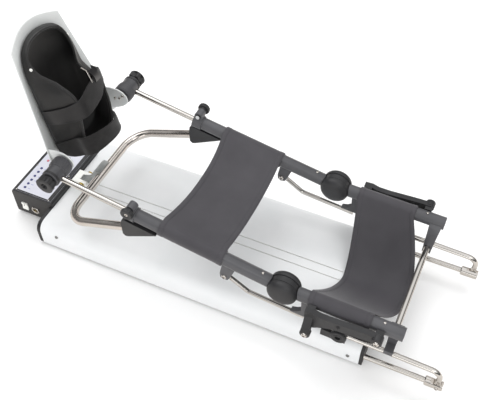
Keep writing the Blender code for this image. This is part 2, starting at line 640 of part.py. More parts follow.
def sling_section(tube_y, radius, sag, power, steps):
    """Middle line of a sling in (y, height above the tube axis), round one tube, across with a sag, and round
    the other tube.
    """
    start, leave = 25.0, 78.0 - min(sag * 0.5, 38.0)
    wrap = [(-tube_y + radius * math.cos(a), radius * math.sin(a))
            for a in np.radians(np.linspace(start, leave - 360.0, 13))]
    y0, h0 = wrap[-1]
    across = []
    for part in np.linspace(0, 1, steps + 2)[1:-1]:
        y = y0 + (-2 * y0) * part
        across.append((y, h0 - sag * (1 - abs(y / y0) ** power)))
    return wrap + across + [(-y, h) for y, h in reversed(wrap)]


def sheet_from(grid, thickness):
    """Closed solid sheet about a grid of middle points (rows along the sheet's length, columns across)."""
    grid = np.asarray(grid, float)
    rows, columns = grid.shape[:2]
    du = np.gradient(grid, axis=0)
    dv = np.gradient(grid, axis=1)
    normal = np.cross(du, dv)
    normal /= np.linalg.norm(normal, axis=2)[:, :, None]
    top = (grid + normal * thickness / 2).reshape(-1, 3)
    bottom = (grid - normal * thickness / 2).reshape(-1, 3)
    count = rows * columns
    faces = []
    for i in range(rows - 1):
        for j in range(columns - 1):
            a = i * columns + j
            faces.append((a, a + 1, a + columns + 1, a + columns))
            faces.append((count + a + columns, count + a + columns + 1, count + a + 1, count + a))
    border = [j for j in range(columns)] + [i * columns + columns - 1 for i in range(1, rows)]
    border += [(rows - 1) * columns + j for j in range(columns - 2, -1, -1)]
    border += [i * columns for i in range(rows - 2, 0, -1)]
    for a, b in zip(border, border[1:] + border[:1]):
        faces.append((b, a, count + a, count + b))
    return Solid(np.concatenate([top, bottom]), faces).outward()


def build_sling(name, place, front, rear, pivot, rows=8, across=15):
    """Sling between the two tubes; front and rear each give (distance at the tubes, bow, sag, power)."""
    radius = TUBE_RADIUS + SLING_CLEARANCE + SLING_THICKNESS / 2
    grid = []
    for part in np.linspace(0, 1, rows):
        distance, bow, sag, power = [a + (b - a) * part for a, b in zip(front, rear)]
        line = []
        for y, h in sling_section(TUBE_Y, radius, sag, power, across):
            inside = 1 - min(abs(y) / (TUBE_Y - radius), 1.0) ** power
            line.append(place(distance + bow * inside, h, y))
        grid.append(line)
    add_piece(name, sheet_from(grid, SLING_THICKNESS), "sling_fabric", pivot)


def build_slings():
    thigh_rear = THIGH_END_X - KNEE_X - 58.0
    build_sling("thigh_sling", along_thigh, (48.5, 25.0, 100.0, 1.5), (thigh_rear, 41.0, 91.0, 2.2),
                (KNEE_X, 0, KNEE_Z))
    calf_front = 237.0 * math.hypot(1, CALF_SLOPE)
    calf_rear = 114.5 * math.hypot(1, CALF_SLOPE)
    build_sling("calf_sling", along_calf, (calf_front, -12.0, 8.0, 2.2), (calf_rear, -5.0, 7.0, 2.2),
                (KNEE_X, 0, KNEE_Z), across=13)


def build_calf():
    y = TUBE_Y
    pivot = (KNEE_X, y, KNEE_Z)
    centre = np.array(pivot)
    disc = turned([(KNEE_DISC_RADIUS - 1, -KNEE_DISC_HALF), (KNEE_DISC_RADIUS, -KNEE_DISC_HALF + 1),
                   (KNEE_DISC_RADIUS, KNEE_DISC_HALF - 1), (KNEE_DISC_RADIUS - 1, KNEE_DISC_HALF)],
                  centre, (0, 1, 0), 24)
    stub = cylinder(along_calf(KNEE_DISC_RADIUS - 4, 0, y), along_calf(KNEE_DISC_RADIUS + 14, 0, y),
                    KNEE_STUB_RADIUS, 16)
    bore = cylinder(centre - (0, 15, 0), centre + (0, 15, 0), KNEE_PIN_RADIUS + GAP, 14)
    add_pair("knee_disc", cut(joined(disc, stub), bore), "black_paint", pivot)

    tube = cylinder(along_calf(KNEE_RADIUS - 6, 0, y), along_calf(CALF_TUBE_LENGTH, 0, y), TUBE_RADIUS, 20)
    collar_end = CALF_TUBE_LENGTH + COLLAR_OVERHANG
    collar = cylinder(along_calf(collar_end - COLLAR_LENGTH, 0, y), along_calf(collar_end, 0, y), COLLAR_RADIUS, 20)
    ks, kh = CALF_KNOB
    boss = cylinder(along_calf(ks, kh, CALF_BOSS_Y[0]), along_calf(ks, kh, CALF_BOSS_Y[1]), CALF_BOSS_RADIUS, 20)
    ear = slab([(ks - 8.4, 8), (ks - 8.4, kh), (ks + 8.4, kh), (ks + 8.4, 8)], along_calf, CALF_BOSS_Y[0] + 1.5,
               CALF_BOSS_Y[1] - 1.5)
    lug = slab([(90, -8), (115.4, -8), (115.4, -38), (113, -48), (106, -52), (98, -48), (95, -38)],
               along_calf, LINK_Y - 6.8, LINK_Y + 6.8)
    body = joined(tube, collar, ear, boss, lug)
    bore = cylinder(along_calf(CALF_TUBE_LENGTH - 135, 0, y), along_calf(CALF_TUBE_LENGTH + 16, 0, y),
                    CALF_BORE_RADIUS, 16)
    knee_room = cylinder(centre - (0, 30, 0), centre + (0, 30, 0), KNEE_RADIUS + 2 * GAP, 28)
    stub_room = cylinder(along_calf(KNEE_RADIUS - 8, 0, y), along_calf(KNEE_DISC_RADIUS + 15, 0, y),
                         KNEE_STUB_RADIUS + GAP, 16)
    lug_slot = slab([(84, -24), (128, -24), (128, -60), (84, -60)], along_calf, LINK_Y - 3.5, LINK_Y + 3.5)
    stem_hole = cylinder(along_calf(ks, kh, CALF_BOSS_Y[0] - 4), along_calf(ks, kh, CALF_BOSS_Y[1] + 4), 3.4, 14)
    body = cut(body, knee_room, stub_room, bore, lug_slot, stem_hole)
    pin = cylinder((LUG[0], LINK_Y - 6.0, LUG[1]), (LUG[0], LINK_Y + 7.6, LUG[1]), LINK_PIN_RADIUS, 16)
    add_pair("calf_tube", joined(body, pin), "dark_tube", pivot)

    start = along_calf(ks, kh, CALF_BOSS_Y[0] - 2.1)
    rim = CALF_KNOB_RADIUS
    knob = turned([(5.5, 0), (5.5, 1.8), (3.0, 1.801), (3.0, 18.6), (6.5, 18.601), (7.5, 23.5), (rim - 0.5, 24.0),
                   (rim, 25.0), (rim, 30.5), (rim - 1.5, 32.0)], start, (0, 1, 0), 16)
    add_pair("calf_knob", knob, "black_paint", start)

    wedge = [(227, 151), (232, 146.6), (238, 148.2), (290, 175.6), (299, 180.3), (236, 192.7), (229, 189), (227, 178)]
    block = prism(wedge, "xz", y - 8.9, y + 13.1)
    a = np.array((225.0, U_HALF_WIDTH, U_FRONT[1] + U_SLOPE * (225.0 - U_FRONT[0])))
    b = np.array((U_END_X + 3, U_HALF_WIDTH, U_FRONT[1] + U_SLOPE * (U_END_X + 3 - U_FRONT[0])))
    arm_room = cylinder(a - (b - a) * 0.3, b, U_RADIUS + 0.4, 18)
    collar_room = cylinder(along_calf(collar_end - COLLAR_LENGTH - 4, 0, y), along_calf(collar_end + 20, 0, y),
                           COLLAR_RADIUS + GAP, 20)
    add_pair("wedge_bracket", cut(block, arm_room, collar_room), "black_paint", pivot)

    def on_u(x, across):
        return (x, across, U_FRONT[1] + U_SLOPE * (x - U_FRONT[0]))

    path = rounded_path([on_u(U_END_X, -U_HALF_WIDTH), on_u(U_FRONT[0], -U_HALF_WIDTH),
                         on_u(U_FRONT[0], U_HALF_WIDTH), on_u(U_END_X, U_HALF_WIDTH)], U_CORNER, 8)
    add_piece("u_tube", sweep(path, U_RADIUS, 16), "chrome", (KNEE_X, 0, KNEE_Z))

    ring = rim_circle((LUG[0], LUG[1]), 6.6, 0, 330, 11)
    eye = prism(ring, "xz", LINK_Y - 3.0, LINK_Y + 3.0)
    path = rounded_path([(LUG[0] + 3.6, LINK_Y, LUG[1] - 2.5), (LINK_BEND[0], LINK_Y, LINK_BEND[1]),
                         (LINK_END[0], LINK_Y, LINK_END[1])], 14, 4)
    rod = sweep(path, LINK_RADIUS, 12)
    neck_cut = [cylinder((LUG[0], LINK_Y + side * 2.7, LUG[1]), (LUG[0], LINK_Y + side * 9.0, LUG[1]), 13.5, 20)
                for side in (-1, 1)]
    hole = cylinder((LUG[0], LINK_Y - 8, LUG[1]), (LUG[0], LINK_Y + 8, LUG[1]), LINK_PIN_RADIUS + GAP, 14)
    link = cut(joined(cut(rod, *neck_cut), eye), hole)
    add_pair("link_rod", link, "chrome", (LUG[0], LINK_Y, LUG[1]))


def build_carriage():
    px, pz = CARRIAGE_PIVOT
    x0, x1 = CARRIAGE_BLOCK_X
    bottom = BASE_HEIGHT + CARRIAGE_LIFT + 0.6
    half = CARRIAGE_HALF_WIDTH
    profile = [(x0, bottom), (x1, bottom), (x1, 70), (x1 - 3, 75), (x0 + 3, 75), (x0, 70)]
    block = prism(profile, "xz", -half, half)
    legs = [box(30, 48, side * SLOT_Y - GUIDE_HALF, side * SLOT_Y + GUIDE_HALF, 30, bottom + 2) for side in (-1, 1)]
    yoke = box(30, 48, -SLOT_Y - 4, SLOT_Y + 4, 30, 42)
    groove = cylinder((20, 0, SCREW_AXIS_Z), (60, 0, SCREW_AXIS_Z), SCREW_RADIUS + 4.8, 18)
    pocket = box(px - 9, px + 16, -7.3, 7.3, bottom + 5, 80)
    hole = cylinder((px, -half - 3, pz), (px, half + 3, pz), 3 + GAP, 16)
    carriage = cut(joined(block, *legs, yoke), groove, pocket, hole)
    add_piece("carriage_block", carriage, "white_plastic", (px, 0, pz))
    bolt = turned([(5.2, 0), (6.2, 1.2), (6.2, 4), (3.0, 4), (3.0, 35.6), (5.6, 35.6), (5.6, 38.6), (4.6, 39.4)],
                  (px, -half - 4.3, pz), (0, 1, 0), 18)
    add_piece("pivot_bolt", bolt, "brass", (px, 0, pz))

    ux, uz = U_FRONT
    outline = rim_circle((px, pz), 7.5, 140, 300, 8) + [(50, 66.5), (66, 80), (86, 93), (87, 120.5), (77, 120.5)]
    outline += [(70, 112), (62, 96), (46, 80)]
    arm = prism(outline, "xz", -7.0, 7.0)
    tall = prism([(68.5, 101), (74, 94.5), (86, 93.5), (86.5, 120), (76, 120), (68.5, 112)], "xz", -9, 26)
    tube_room = cylinder((ux, -40, uz), (ux, 60, uz), U_RADIUS + GAP, 18)
    hole = cylinder((px, -12, pz), (px, 12, pz), 3 + GAP, 16)
    add_piece("carriage_bracket", cut(joined(arm, tall), tube_room, hole), "galvanised", (px, 0, pz))


def plate_half(u):
    """Half width of the footplate at a height u."""
    return PLATE_HALF_LOW - PLATE_TAPER * (u - 23)


def plate_depth(u):
    """How far the footplate's middle lies behind its rim."""
    return 36.0 - 27.0 * np.clip(u / PLATE_TOP_U, 0, 1)


def plate_w(u, y):
    """Middle of the footplate's thickness at a height u and a place across."""
    reach = np.clip(abs(y) / plate_half(u), 0, 1)
    return PLATE_RIM_W - plate_depth(u) * math.cos(reach * math.pi / 2) ** 1.2


def build_foot():
    y = TUBE_Y
    pivot = (FOOT_PIVOT[0], 0, FOOT_PIVOT[1])
    rod_end = 449.0
    rod = cylinder(along_calf(CALF_TUBE_LENGTH - 100, 0, y), along_calf(rod_end, 0, y), CALF_ROD_RADIUS, 16)
    add_pair("calf_rod", rod, "chrome", (FOOT_PIVOT[0], y, FOOT_PIVOT[1]))

    hub = np.array((FOOT_PIVOT[0], 0, FOOT_PIVOT[1]))
    drum = DRUM_OUT_Y - DRUM_IN_Y
    reach = CLAMP_OUT_Y - DRUM_IN_Y
    barrel = turned([(DRUM_RADIUS - 1.5, 0), (DRUM_RADIUS, 1.5), (DRUM_RADIUS, drum), (CLAMP_RADIUS, drum + 0.8),
                     (CLAMP_RADIUS, reach - 1.5), (CLAMP_RADIUS - 1.5, reach)], hub + (0, DRUM_IN_Y, 0), (0, 1, 0), 20)
    rod_room = cylinder(along_calf(rod_end - 30, 0, y), along_calf(rod_end + 0.4, 0, y), CALF_ROD_RADIUS + GAP, 16)
    axle = cylinder(hub + (0, 95, 0), hub + (0, y - 4.5, 0), 5.0 + GAP, 16)
    stem = cylinder(hub + (0, y + 6.5, 0), hub + (0, CLAMP_OUT_Y + 3, 0), 4.0 + GAP, 16)
    add_pair("foot_clamp", cut(barrel, rod_room, axle, stem), "black_paint", (FOOT_PIVOT[0], y, FOOT_PIVOT[1]))

    middle = FOOT_KNOB_RADIUS - FOOT_KNOB_HOLLOW / 2
    angles = np.arange(5 * FOOT_KNOB_LOBES) * 2 * math.pi / (5 * FOOT_KNOB_LOBES)
    ring = [(FOOT_PIVOT[0] + r * math.cos(a), FOOT_PIVOT[1] + r * math.sin(a))
            for a, r in zip(angles, middle + FOOT_KNOB_HOLLOW / 2 * np.cos(FOOT_KNOB_LOBES * angles))]
    grip = prism(ring, "xz", *FOOT_KNOB_Y)
    cap = turned([(4.0, 0), (4.0, 8.0), (12.0, 8.3), (12.0, 10)], hub + (0, y + 10, 0), (0, 1, 0), 20)
    recess = cylinder(hub + (0, FOOT_KNOB_Y[1] - 5, 0), hub + (0, FOOT_KNOB_Y[1] + 5, 0), 6.0, 16)
    add_pair("foot_knob", cut(joined(grip, cap), recess), "black_paint", tuple(hub + (0, y + 10, 0)))

    grid = []
    for part in np.linspace(0, 1, PLATE_ROWS):
        line = []
        for across in np.linspace(-1, 1, PLATE_COLUMNS):
            crown = (PLATE_TOP_U - PLATE_CORNER_U) * (1 - across ** 2) * part ** 2
            u = PLATE_BOTTOM_U + (PLATE_CORNER_U - PLATE_BOTTOM_U) * part + crown
            y = across * plate_half(u - crown)
            line.append(in_foot(u, plate_w(u - crown, y), y))
        grid.append(line)
    plate = sheet_from(grid, PLATE_THICKNESS)
    ear_outline = [(-26, -34), (24, -34), (24, -16), (20, 2), (13, 12), (4, 17), (-6, 17), (-14, 11), (-20, 0),
                   (-24, -14)]
    ears = []
    for side in (-1, 1):
        ears.append(slab(ear_outline, in_foot, side * 93.4, side * 96.6))
        ears.append(cylinder(hub + (0, side * 94, 0), hub + (0, side * (TUBE_Y - 7.5), 0), 5.0, 16))
    add_piece("footplate", joined(plate, *ears), "plate_grey", pivot)


def rim_w(u, y):
    """Height of the shoe's rim: a high flap on each side of the ankle, cut away steeply on the right side."""
    part = np.clip((y + BOOT_RIM_BLEND) / (2 * BOOT_RIM_BLEND), 0, 1)
    blend = part * part * (3 - 2 * part)
    left = float(np.interp(u, *BOOT_RIM_LEFT))
    right = float(np.interp(u, *BOOT_RIM_RIGHT))
    return left + (right - left) * blend


def boot_low(u, y):
    """Back of the shoe, resting in the hollow of the footplate."""
    return plate_w(u, y) + PLATE_THICKNESS / 2 + BOOT_STAND_OFF


def boot_taper(u, side, part):
    """Share of the shoe's full width at a share of its height; the toe stays wider."""
    taper = np.interp(part, BOOT_HEIGHTS, BOOT_TAPER_LEFT if side < 0 else BOOT_TAPER_RIGHT)
    toe = np.interp(u, *(BOOT_TOE_LEFT if side < 0 else BOOT_TOE_RIGHT))
    return float(taper + (1 - taper) * toe)


def boot_side(u, w, side):
    """Half width of the shoe outside its wall, at a height u along the plate and w out of it."""
    table = sorted(BOOT_OUTLINE)
    half = float(np.interp(u, [row[0] for row in table], [row[1] for row in table]))
    low = boot_low(u, half)
    return half * boot_taper(u, side, (w - low) / (rim_w(u, side * half) - low))


def boot_ring(scale, part, inset, off):
    """Closed outline of the shoe from the plate (part 0) to the rim (part 1), inside its outer wall by inset."""
    outline = list(BOOT_OUTLINE) + [(u, -y) for u, y in reversed(BOOT_OUTLINE[1:-1])]
    ring = []
    for u0, y0 in outline:
        taper = boot_taper(u0, y0, part)
        u = BOOT_MIDDLE_U + (u0 - BOOT_MIDDLE_U) * scale
        y = math.copysign(max(abs(y0) * taper * min(scale * 1.08, 1.0) - inset, 0.0), y0)
        low = boot_low(u, y) + off
        ring.append(in_foot(u, low + (max(rim_w(u, y), low + 5) - low) * part, y))
    return ring


def build_boot():
    wall = BOOT_WALL
    levels = [(0.60, 0.0, 0.0, 0.0), (0.84, 0.0, 0.0, 0.0), (0.95, 0.02, 0.0, 0.3), (1.0, 0.16, 0.0, 0.6),
              (1.0, 0.42, 0.0, 0.6), (1.0, 0.70, 0.0, 0.6), (0.995, 0.92, 0.0, 0.6), (0.985, 1.0, wall * 0.3, 0.6),
              (0.965, 0.985, wall * 0.8, 0.6), (0.955, 0.92, wall, 0.6), (0.95, 0.70, wall, 2.0),
              (0.95, 0.42, wall, 3.0), (0.93, 0.20, wall, wall), (0.82, 0.02, wall, wall + 1),
              (0.50, 0.0, wall, wall)]
    rings = [boot_ring(*level) for level in levels]
    add_piece("boot", loft(rings), "foam_black", (FOOT_PIVOT[0], 0, FOOT_PIVOT[1]))


def smooth_line(points, count):
    """Evenly spaced points of a smooth curve through the given points (Catmull-Rom)."""
    points = np.asarray(points, float)
    padded = np.concatenate([[2 * points[0] - points[1]], points, [2 * points[-1] - points[-2]]])
    fine = []
    for i in range(len(points) - 1):
        p0, p1, p2, p3 = padded[i:i + 4]
        for t in np.linspace(0, 1, 12, endpoint=False):
            fine.append(0.5 * (2 * p1 + (p2 - p0) * t + (2 * p0 - 5 * p1 + 4 * p2 - p3) * t ** 2
                               + (3 * p1 - p0 - 3 * p2 + p3) * t ** 3))
    fine.append(points[-1])
    fine = np.array(fine)
    length = np.concatenate([[0], np.cumsum(np.linalg.norm(np.diff(fine, axis=0), axis=1))])
    wanted = np.linspace(0, length[-1], count)
    return np.stack([np.interp(wanted, length, fine[:, k]) for k in range(points.shape[1])], axis=1)


def build_strap(name, stations, count, thickness, rows=4):
    """Strap through stations of (y, w, lower u, upper u); a y of +1 or -1 lays it on that side of the shoe."""
    placed = []
    for y, w, low, high in stations:
        if abs(y) == 1:
            y *= max(boot_side(u, w + up, y) for u in np.linspace(low, high, 5) for up in (0, 8)) + STRAP_STAND_OFF
        placed.append((y, w, low, high))
    line = smooth_line(placed, count)
    grid = []
    for part in np.linspace(0, 1, rows):
        grid.append([in_foot(low + (high - low) * part, w, y) for y, w, low, high in line])
    add_piece(name, sheet_from(grid, thickness), "strap_black", (FOOT_PIVOT[0], 0, FOOT_PIVOT[1]))


def build_straps():
    instep = [(-1, -28, 64, 92), (-1, -14, 64, 94), (-1, 0, 65, 96), (-1, 14, 66, 98), (-1, 28, 67, 100),
              (-1, 38, 68, 103), (-47, 51, 70, 107), (-30, 53.5, 72, 113), (-12, 53.5, 74, 118), (6, 51.5, 78, 120),
              (20, 48, 86, 120), (35, 41, 92, 118), (1, 29, 88, 110), (1, 16, 83, 103), (1, 2, 79, 98),
              (1, -12, 77, 96)]
    build_strap("instep_strap", instep, 31, 2.2)
    ankle = [(-1, -40, -8, 14), (-1, -22, -14, 18), (-1, -4, -17, 22), (-1, 12, -15, 26), (-61, 26, -12, 29),
             (-53, 37, -11, 29), (-36, 44.5, -11, 26), (-16, 48, -12, 22), (4, 47, -14, 18), (21, 42.5, -15, 15),
             (35, 33, -16, 13), (1, 18, -17, 11), (1, 2, -17, 10), (1, -14, -14, 10), (1, -30, -10, 10)]
    build_strap("ankle_strap", ankle, 35, 2.4)


def main():
    for thing in list(bpy.data.objects):
        bpy.data.objects.remove(thing)
    build_base()
    build_drive()
    build_controls()
    build_hip_rods()
    build_thigh()
    build_slings()
    build_calf()
    build_carriage()
    build_foot()
    build_boot()
    build_straps()


if __name__ == "__main__":
    main()
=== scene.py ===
"""Looks of the continuous passive motion machine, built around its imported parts.

Sizes are in millimetres in the machine frame: x runs from the foot end of the base to the hip end, y from the
patient's left side to the right side, z up from the underside of the base cover.
"""
from __future__ import annotations

import json
import logging
import math
from dataclasses import dataclass
from enum import Enum

import bmesh
import bpy
import numpy as np
from mathutils import Matrix

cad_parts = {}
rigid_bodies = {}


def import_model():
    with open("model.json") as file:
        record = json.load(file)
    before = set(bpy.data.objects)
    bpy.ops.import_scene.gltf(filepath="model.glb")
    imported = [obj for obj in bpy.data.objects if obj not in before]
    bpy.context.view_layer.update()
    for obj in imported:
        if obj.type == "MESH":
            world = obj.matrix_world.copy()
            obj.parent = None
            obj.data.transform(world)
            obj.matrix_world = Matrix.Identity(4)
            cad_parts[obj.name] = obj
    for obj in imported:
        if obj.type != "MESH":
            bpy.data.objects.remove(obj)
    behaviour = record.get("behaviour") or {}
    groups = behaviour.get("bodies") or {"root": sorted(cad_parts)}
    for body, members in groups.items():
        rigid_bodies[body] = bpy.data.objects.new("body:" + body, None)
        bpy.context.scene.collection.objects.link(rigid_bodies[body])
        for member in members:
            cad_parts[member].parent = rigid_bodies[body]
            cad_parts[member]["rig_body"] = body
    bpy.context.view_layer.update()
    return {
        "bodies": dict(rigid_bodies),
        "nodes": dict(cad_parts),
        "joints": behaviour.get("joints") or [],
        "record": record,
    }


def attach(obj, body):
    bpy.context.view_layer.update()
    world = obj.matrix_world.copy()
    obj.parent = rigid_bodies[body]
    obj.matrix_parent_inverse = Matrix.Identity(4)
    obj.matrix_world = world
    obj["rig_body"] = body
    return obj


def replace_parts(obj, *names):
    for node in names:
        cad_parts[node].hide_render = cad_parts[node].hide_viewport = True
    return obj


LOG = logging.getLogger("machine")
MACHINE_ORIGIN = np.array([378.0, 0.0, -5.0])
PHOTO_WIDTH = 490
PHOTO_HEIGHT = 400
KNEE = (541.0, 148.0)
TUBE_Y = 129.5
SOFT_EDGE = 28.0
UP = (0.0, 0.0, 1.0)

Pair = tuple[float, float]
Point = tuple[float, float, float]
Row = tuple[float, ...]
Array = np.ndarray
Node = bpy.types.Node
Socket = bpy.types.NodeSocket
Tree = bpy.types.NodeTree
Thing = bpy.types.Object


class Side(Enum):
    """The two sides of the machine, by the sign of y."""

    LEFT = -1
    RIGHT = 1

    @property
    def suffix(self) -> str:
        """Ending of the names of that side's nodes and pieces."""
        return "_left" if self is Side.LEFT else "_right"

    @property
    def out(self) -> Point:
        """Direction away from the middle plane on that side."""
        return (0.0, float(self.value), 0.0)


class Pattern(Enum):
    """How a finish's surface was made, which sets its fine relief."""

    PLAIN = "plain"
    PEBBLE = "pebble"
    BRUSHED = "brushed"
    WEAVE = "weave"
    FUZZ = "fuzz"


def linear(code: str) -> tuple[float, float, float, float]:
    """Turns an sRGB hex colour into linear light.

    Args:
        code: six hex digits.

    Returns:
        Red, green, blue and an opacity of 1.
    """
    parts = np.array([int(code[i:i + 2], 16) for i in (0, 2, 4)]) / 255
    light = np.where(parts <= 0.04045, parts / 12.92, ((parts + 0.055) / 1.055) ** 2.4)
    return (*[float(v) for v in light], 1.0)


def join(tree: Tree, node: Node, **links: object) -> Node:
    """Joins or sets a node's inputs.

    Args:
        tree: the node tree.
        node: the node.
        links: input names (spaces as _, or iN for input N) with a socket to join or a value to set.

    Returns:
        The node.
    """
    for key, value in links.items():
        found = node.inputs[int(key[1:]) if key[1:].isdigit() else key.replace("_", " ")]
        if isinstance(value, Socket):
            tree.links.new(value, found)
        else:
            found.default_value = value
    return node


def add(tree: Tree, kind: str, settings: dict | None = None, **links: object) -> Node:
    """Adds a node of a kind, sets its own properties by settings, and joins its inputs by links.

    Args:
        tree: the node tree.
        kind: the node's type without the ShaderNode in front.
        settings: properties of the node itself.
        links: its inputs, as join takes them.

    Returns:
        The new node.
    """
    node = tree.nodes.new("ShaderNode" + kind)
    for key, value in (settings or {}).items():
        setattr(node, key, value)
    return join(tree, node, **links)


def maths(tree: Tree, operation: str, *values: object) -> Socket:
    """Adds a Math node over up to three sockets or numbers and gives its result.

    Args:
        tree: the node tree.
        operation: the node's operation.
        values: its inputs, each a socket or a number.

    Returns:
        The socket of its result.
    """
    links = {f"i{number}": value for number, value in enumerate(values)}
    return add(tree, "Math", {"operation": operation}, **links).outputs[0]


def mixed(tree: Tree, share: object, one: object, other: object, way: str = "MIX") -> Socket:
    """Mixes two colours, each a socket or a value, by a share from 0 to 1 and gives the result.

    Args:
        tree: the node tree.
        share: how much of the other colour, from 0 to 1.
        one: the first colour, a socket or a value.
        other: the second colour.
        way: how they blend.

    Returns:
        The socket of the result.
    """
    settings = {"data_type": "RGBA", "blend_type": way}
    return add(tree, "Mix", settings, Factor=share, i6=one, i7=other).outputs[2]


@dataclass(frozen=True)
class Finish:
    """One real finish: its colours, gloss and the relief that its making leaves."""

    name: str
    colour: str
    shade: str
    roughness: float
    metallic: float = 0.0
    pattern: Pattern = Pattern.PLAIN
    grain: float = 1.0
    relief: float = 0.1
    patch: float = 60.0
    sheen: float = 0.0
    spread: float = 0.06
    stitched: bool = False

    def material(self) -> bpy.types.Material:
        """Returns this finish as a node material, made once."""
        found = bpy.data.materials.get(self.name)
        return found or self._build()

    def _build(self) -> bpy.types.Material:
        """Cloudy mix of the two colours, a roughness that varies with it, and a bump of the pattern.

        Returns:
            The new material.
        """
        material = bpy.data.materials.new(self.name)
        material.use_nodes = True
        tree = material.node_tree
        shader = tree.nodes["Principled BSDF"]
        where = add(tree, "TexCoord").outputs
        cloud = add(tree, "TexNoise", Vector=where["Object"], Scale=1000 / self.patch, Detail=3.0,
                    Roughness=0.55).outputs["Fac"]
        share = add(tree, "MapRange", Value=cloud, From_Min=0.3, From_Max=0.7).outputs["Result"]
        colour = mixed(tree, share, linear(self.colour), linear(self.shade))
        low, high = max(self.roughness - self.spread, 0.02), min(self.roughness + self.spread, 1.0)
        rough = add(tree, "MapRange", Value=cloud, From_Min=0.25, From_Max=0.75, To_Min=low, To_Max=high)
        height = self._height(tree, where["UV"] if self.pattern is Pattern.WEAVE else where["Object"])
        if self.pattern in (Pattern.WEAVE, Pattern.FUZZ):
            tone = add(tree, "MapRange", Value=height, To_Min=0.45, To_Max=1.0).outputs["Result"]
            colour = mixed(tree, 0.45, colour, tone, "MULTIPLY")
        if height is not None:
            bump = add(tree, "Bump", Strength=0.6, Distance=self.relief / 1000, Height=height)
            join(tree, shader, Normal=bump.outputs["Normal"])
        if self.stitched:
            colour = self._stitches(tree, where["UV"], colour)
        join(tree, shader, Base_Color=colour, Roughness=rough.outputs["Result"], Metallic=self.metallic)
        if self.sheen:
            join(tree, shader, Sheen_Weight=self.sheen, Sheen_Roughness=0.5)
        return material

    def _height(self, tree: Tree, place: Socket) -> Socket | None:
        """Relief from 0 to 1: pebbles, drawn-out scratches, crossed threads or loose fibre.

        Args:
            tree: the material's tree.
            place: coordinates in metres.

        Returns:
            The socket that carries the height, or nothing on a plain finish.
        """
        if self.pattern is Pattern.PLAIN:
            return None
        if self.pattern is Pattern.WEAVE:
            turns = 2 * math.pi * 1000 / self.grain
            apart = add(tree, "SeparateXYZ", Vector=place)
            waves = [maths(tree, "SINE", maths(tree, "MULTIPLY_ADD", apart.outputs[axis], turns, quarter))
                     for axis, quarter in (("X", 0.0), ("Y", math.pi / 2))]
            return maths(tree, "MULTIPLY_ADD", maths(tree, "MULTIPLY", *waves), 0.5, 0.5)
        if self.pattern is Pattern.BRUSHED:
            place = add(tree, "Mapping", Vector=place, Scale=(0.06, 1.0, 1.0)).outputs["Vector"]
        detail = 5.0 if self.pattern is Pattern.FUZZ else 2.0
        return add(tree, "TexNoise", Vector=place, Scale=1000 / self.grain, Detail=detail).outputs["Fac"]

    def _stitches(self, tree: Tree, place: Socket, colour: Socket) -> Socket:
        """Dashes of thread 8 mm from both cut edges, where UV x runs in metres from each edge.

        Args:
            tree: the material's tree.
            place: the piece's UV map, x across the seam and y along it, in metres.
            colour: the cloth's colour.

        Returns:
            The colour with the thread on it.
        """
        apart = add(tree, "SeparateXYZ", Vector=place)
        line = maths(tree, "COMPARE", apart.outputs["X"], 0.008, 0.0006)
        dash = maths(tree, "GREATER_THAN", maths(tree, "PINGPONG", apart.outputs["Y"], 0.0035), 0.0012)
        return mixed(tree, maths(tree, "MULTIPLY", line, dash), colour, linear("2A292C"))


# White polyester powder coat on folded steel: even, faint orange peel, soft gloss.
COVER_ENAMEL = Finish("white_powder_coat", "E3E4E5", "DEE0E1", 0.48, pattern=Pattern.PEBBLE, grain=3.0,
                      relief=0.02)
# Black powder coat of the end plates and the control housing: a finer orange peel.
BLACK_ENAMEL = Finish("black_powder_coat", "222224", "1B1B1D", 0.42, pattern=Pattern.PEBBLE, grain=1.6,
                      relief=0.05)
# Glass-filled nylon, moulded: charcoal, a spark-eroded grain that greys it.
BLACK_NYLON = Finish("moulded_black_nylon", "2B2B2D", "222224", 0.45, pattern=Pattern.PEBBLE, grain=1.2,
                     relief=0.06)
# The same black nylon painted lighter on the foot clamps' drums: painted light from a grazing sheen.
PAINTED_LIT_NYLON = Finish("nylon_painted_lighter", "47474A", "3C3C3F", 0.42, pattern=Pattern.PEBBLE, grain=1.2,
                      relief=0.06)
# Stove-enamelled aluminium tube: dark grey, semi-gloss.
TUBE_ENAMEL = Finish("grey_stove_enamel", "525255", "48484B", 0.34, pattern=Pattern.PEBBLE, grain=2.0,
                     relief=0.015)
# Hard chrome on ground rod: near mirror.
CHROME = Finish("chrome_plate", "D6D2CD", "C8C4BF", 0.10, 1.0, Pattern.BRUSHED, grain=1.5, relief=0.004,
                spread=0.03)
# Brushed stainless tube: satin, warmer than chrome.
STAINLESS = Finish("brushed_stainless", "E2DBD5", "D5CEC8", 0.22, 1.0, Pattern.BRUSHED, grain=1.2,
                   relief=0.01)
# Turned steel of the lead screw, axles and cover screws: fine rings, satin.
TURNED_STEEL = Finish("turned_steel", "9A9A98", "8A8A88", 0.35, 1.0, Pattern.BRUSHED, grain=1.0, relief=0.02)
# Zinc-plated sheet: dull grey with a faint spangle.
ZINC = Finish("zinc_plate", "A9ABAA", "979998", 0.42, 0.85, Pattern.PEBBLE, grain=6.0, relief=0.01,
              patch=20.0)
# Bright zinc plate on a turned screw end: pale satin.
BRIGHT_ZINC = Finish("bright_zinc_plate", "E2E3E4", "D9DADB", 0.45, 0.5, patch=6.0)
# Yellow-passivated zinc on the pivot bolt, seen as brass.
YELLOW_ZINC = Finish("yellow_passivate", "C7B06A", "B79C50", 0.28, 1.0, patch=8.0)
# Acetal: the sliding block, milky white and a little waxy.
ACETAL = Finish("white_acetal", "F0F0EC", "E8E8E3", 0.38, patch=25.0)
# Moulded rubber of the feet: dull, with a coarse grain.
RUBBER = Finish("black_rubber", "1A1A1A", "141414", 0.80, pattern=Pattern.PEBBLE, grain=2.0, relief=0.15)
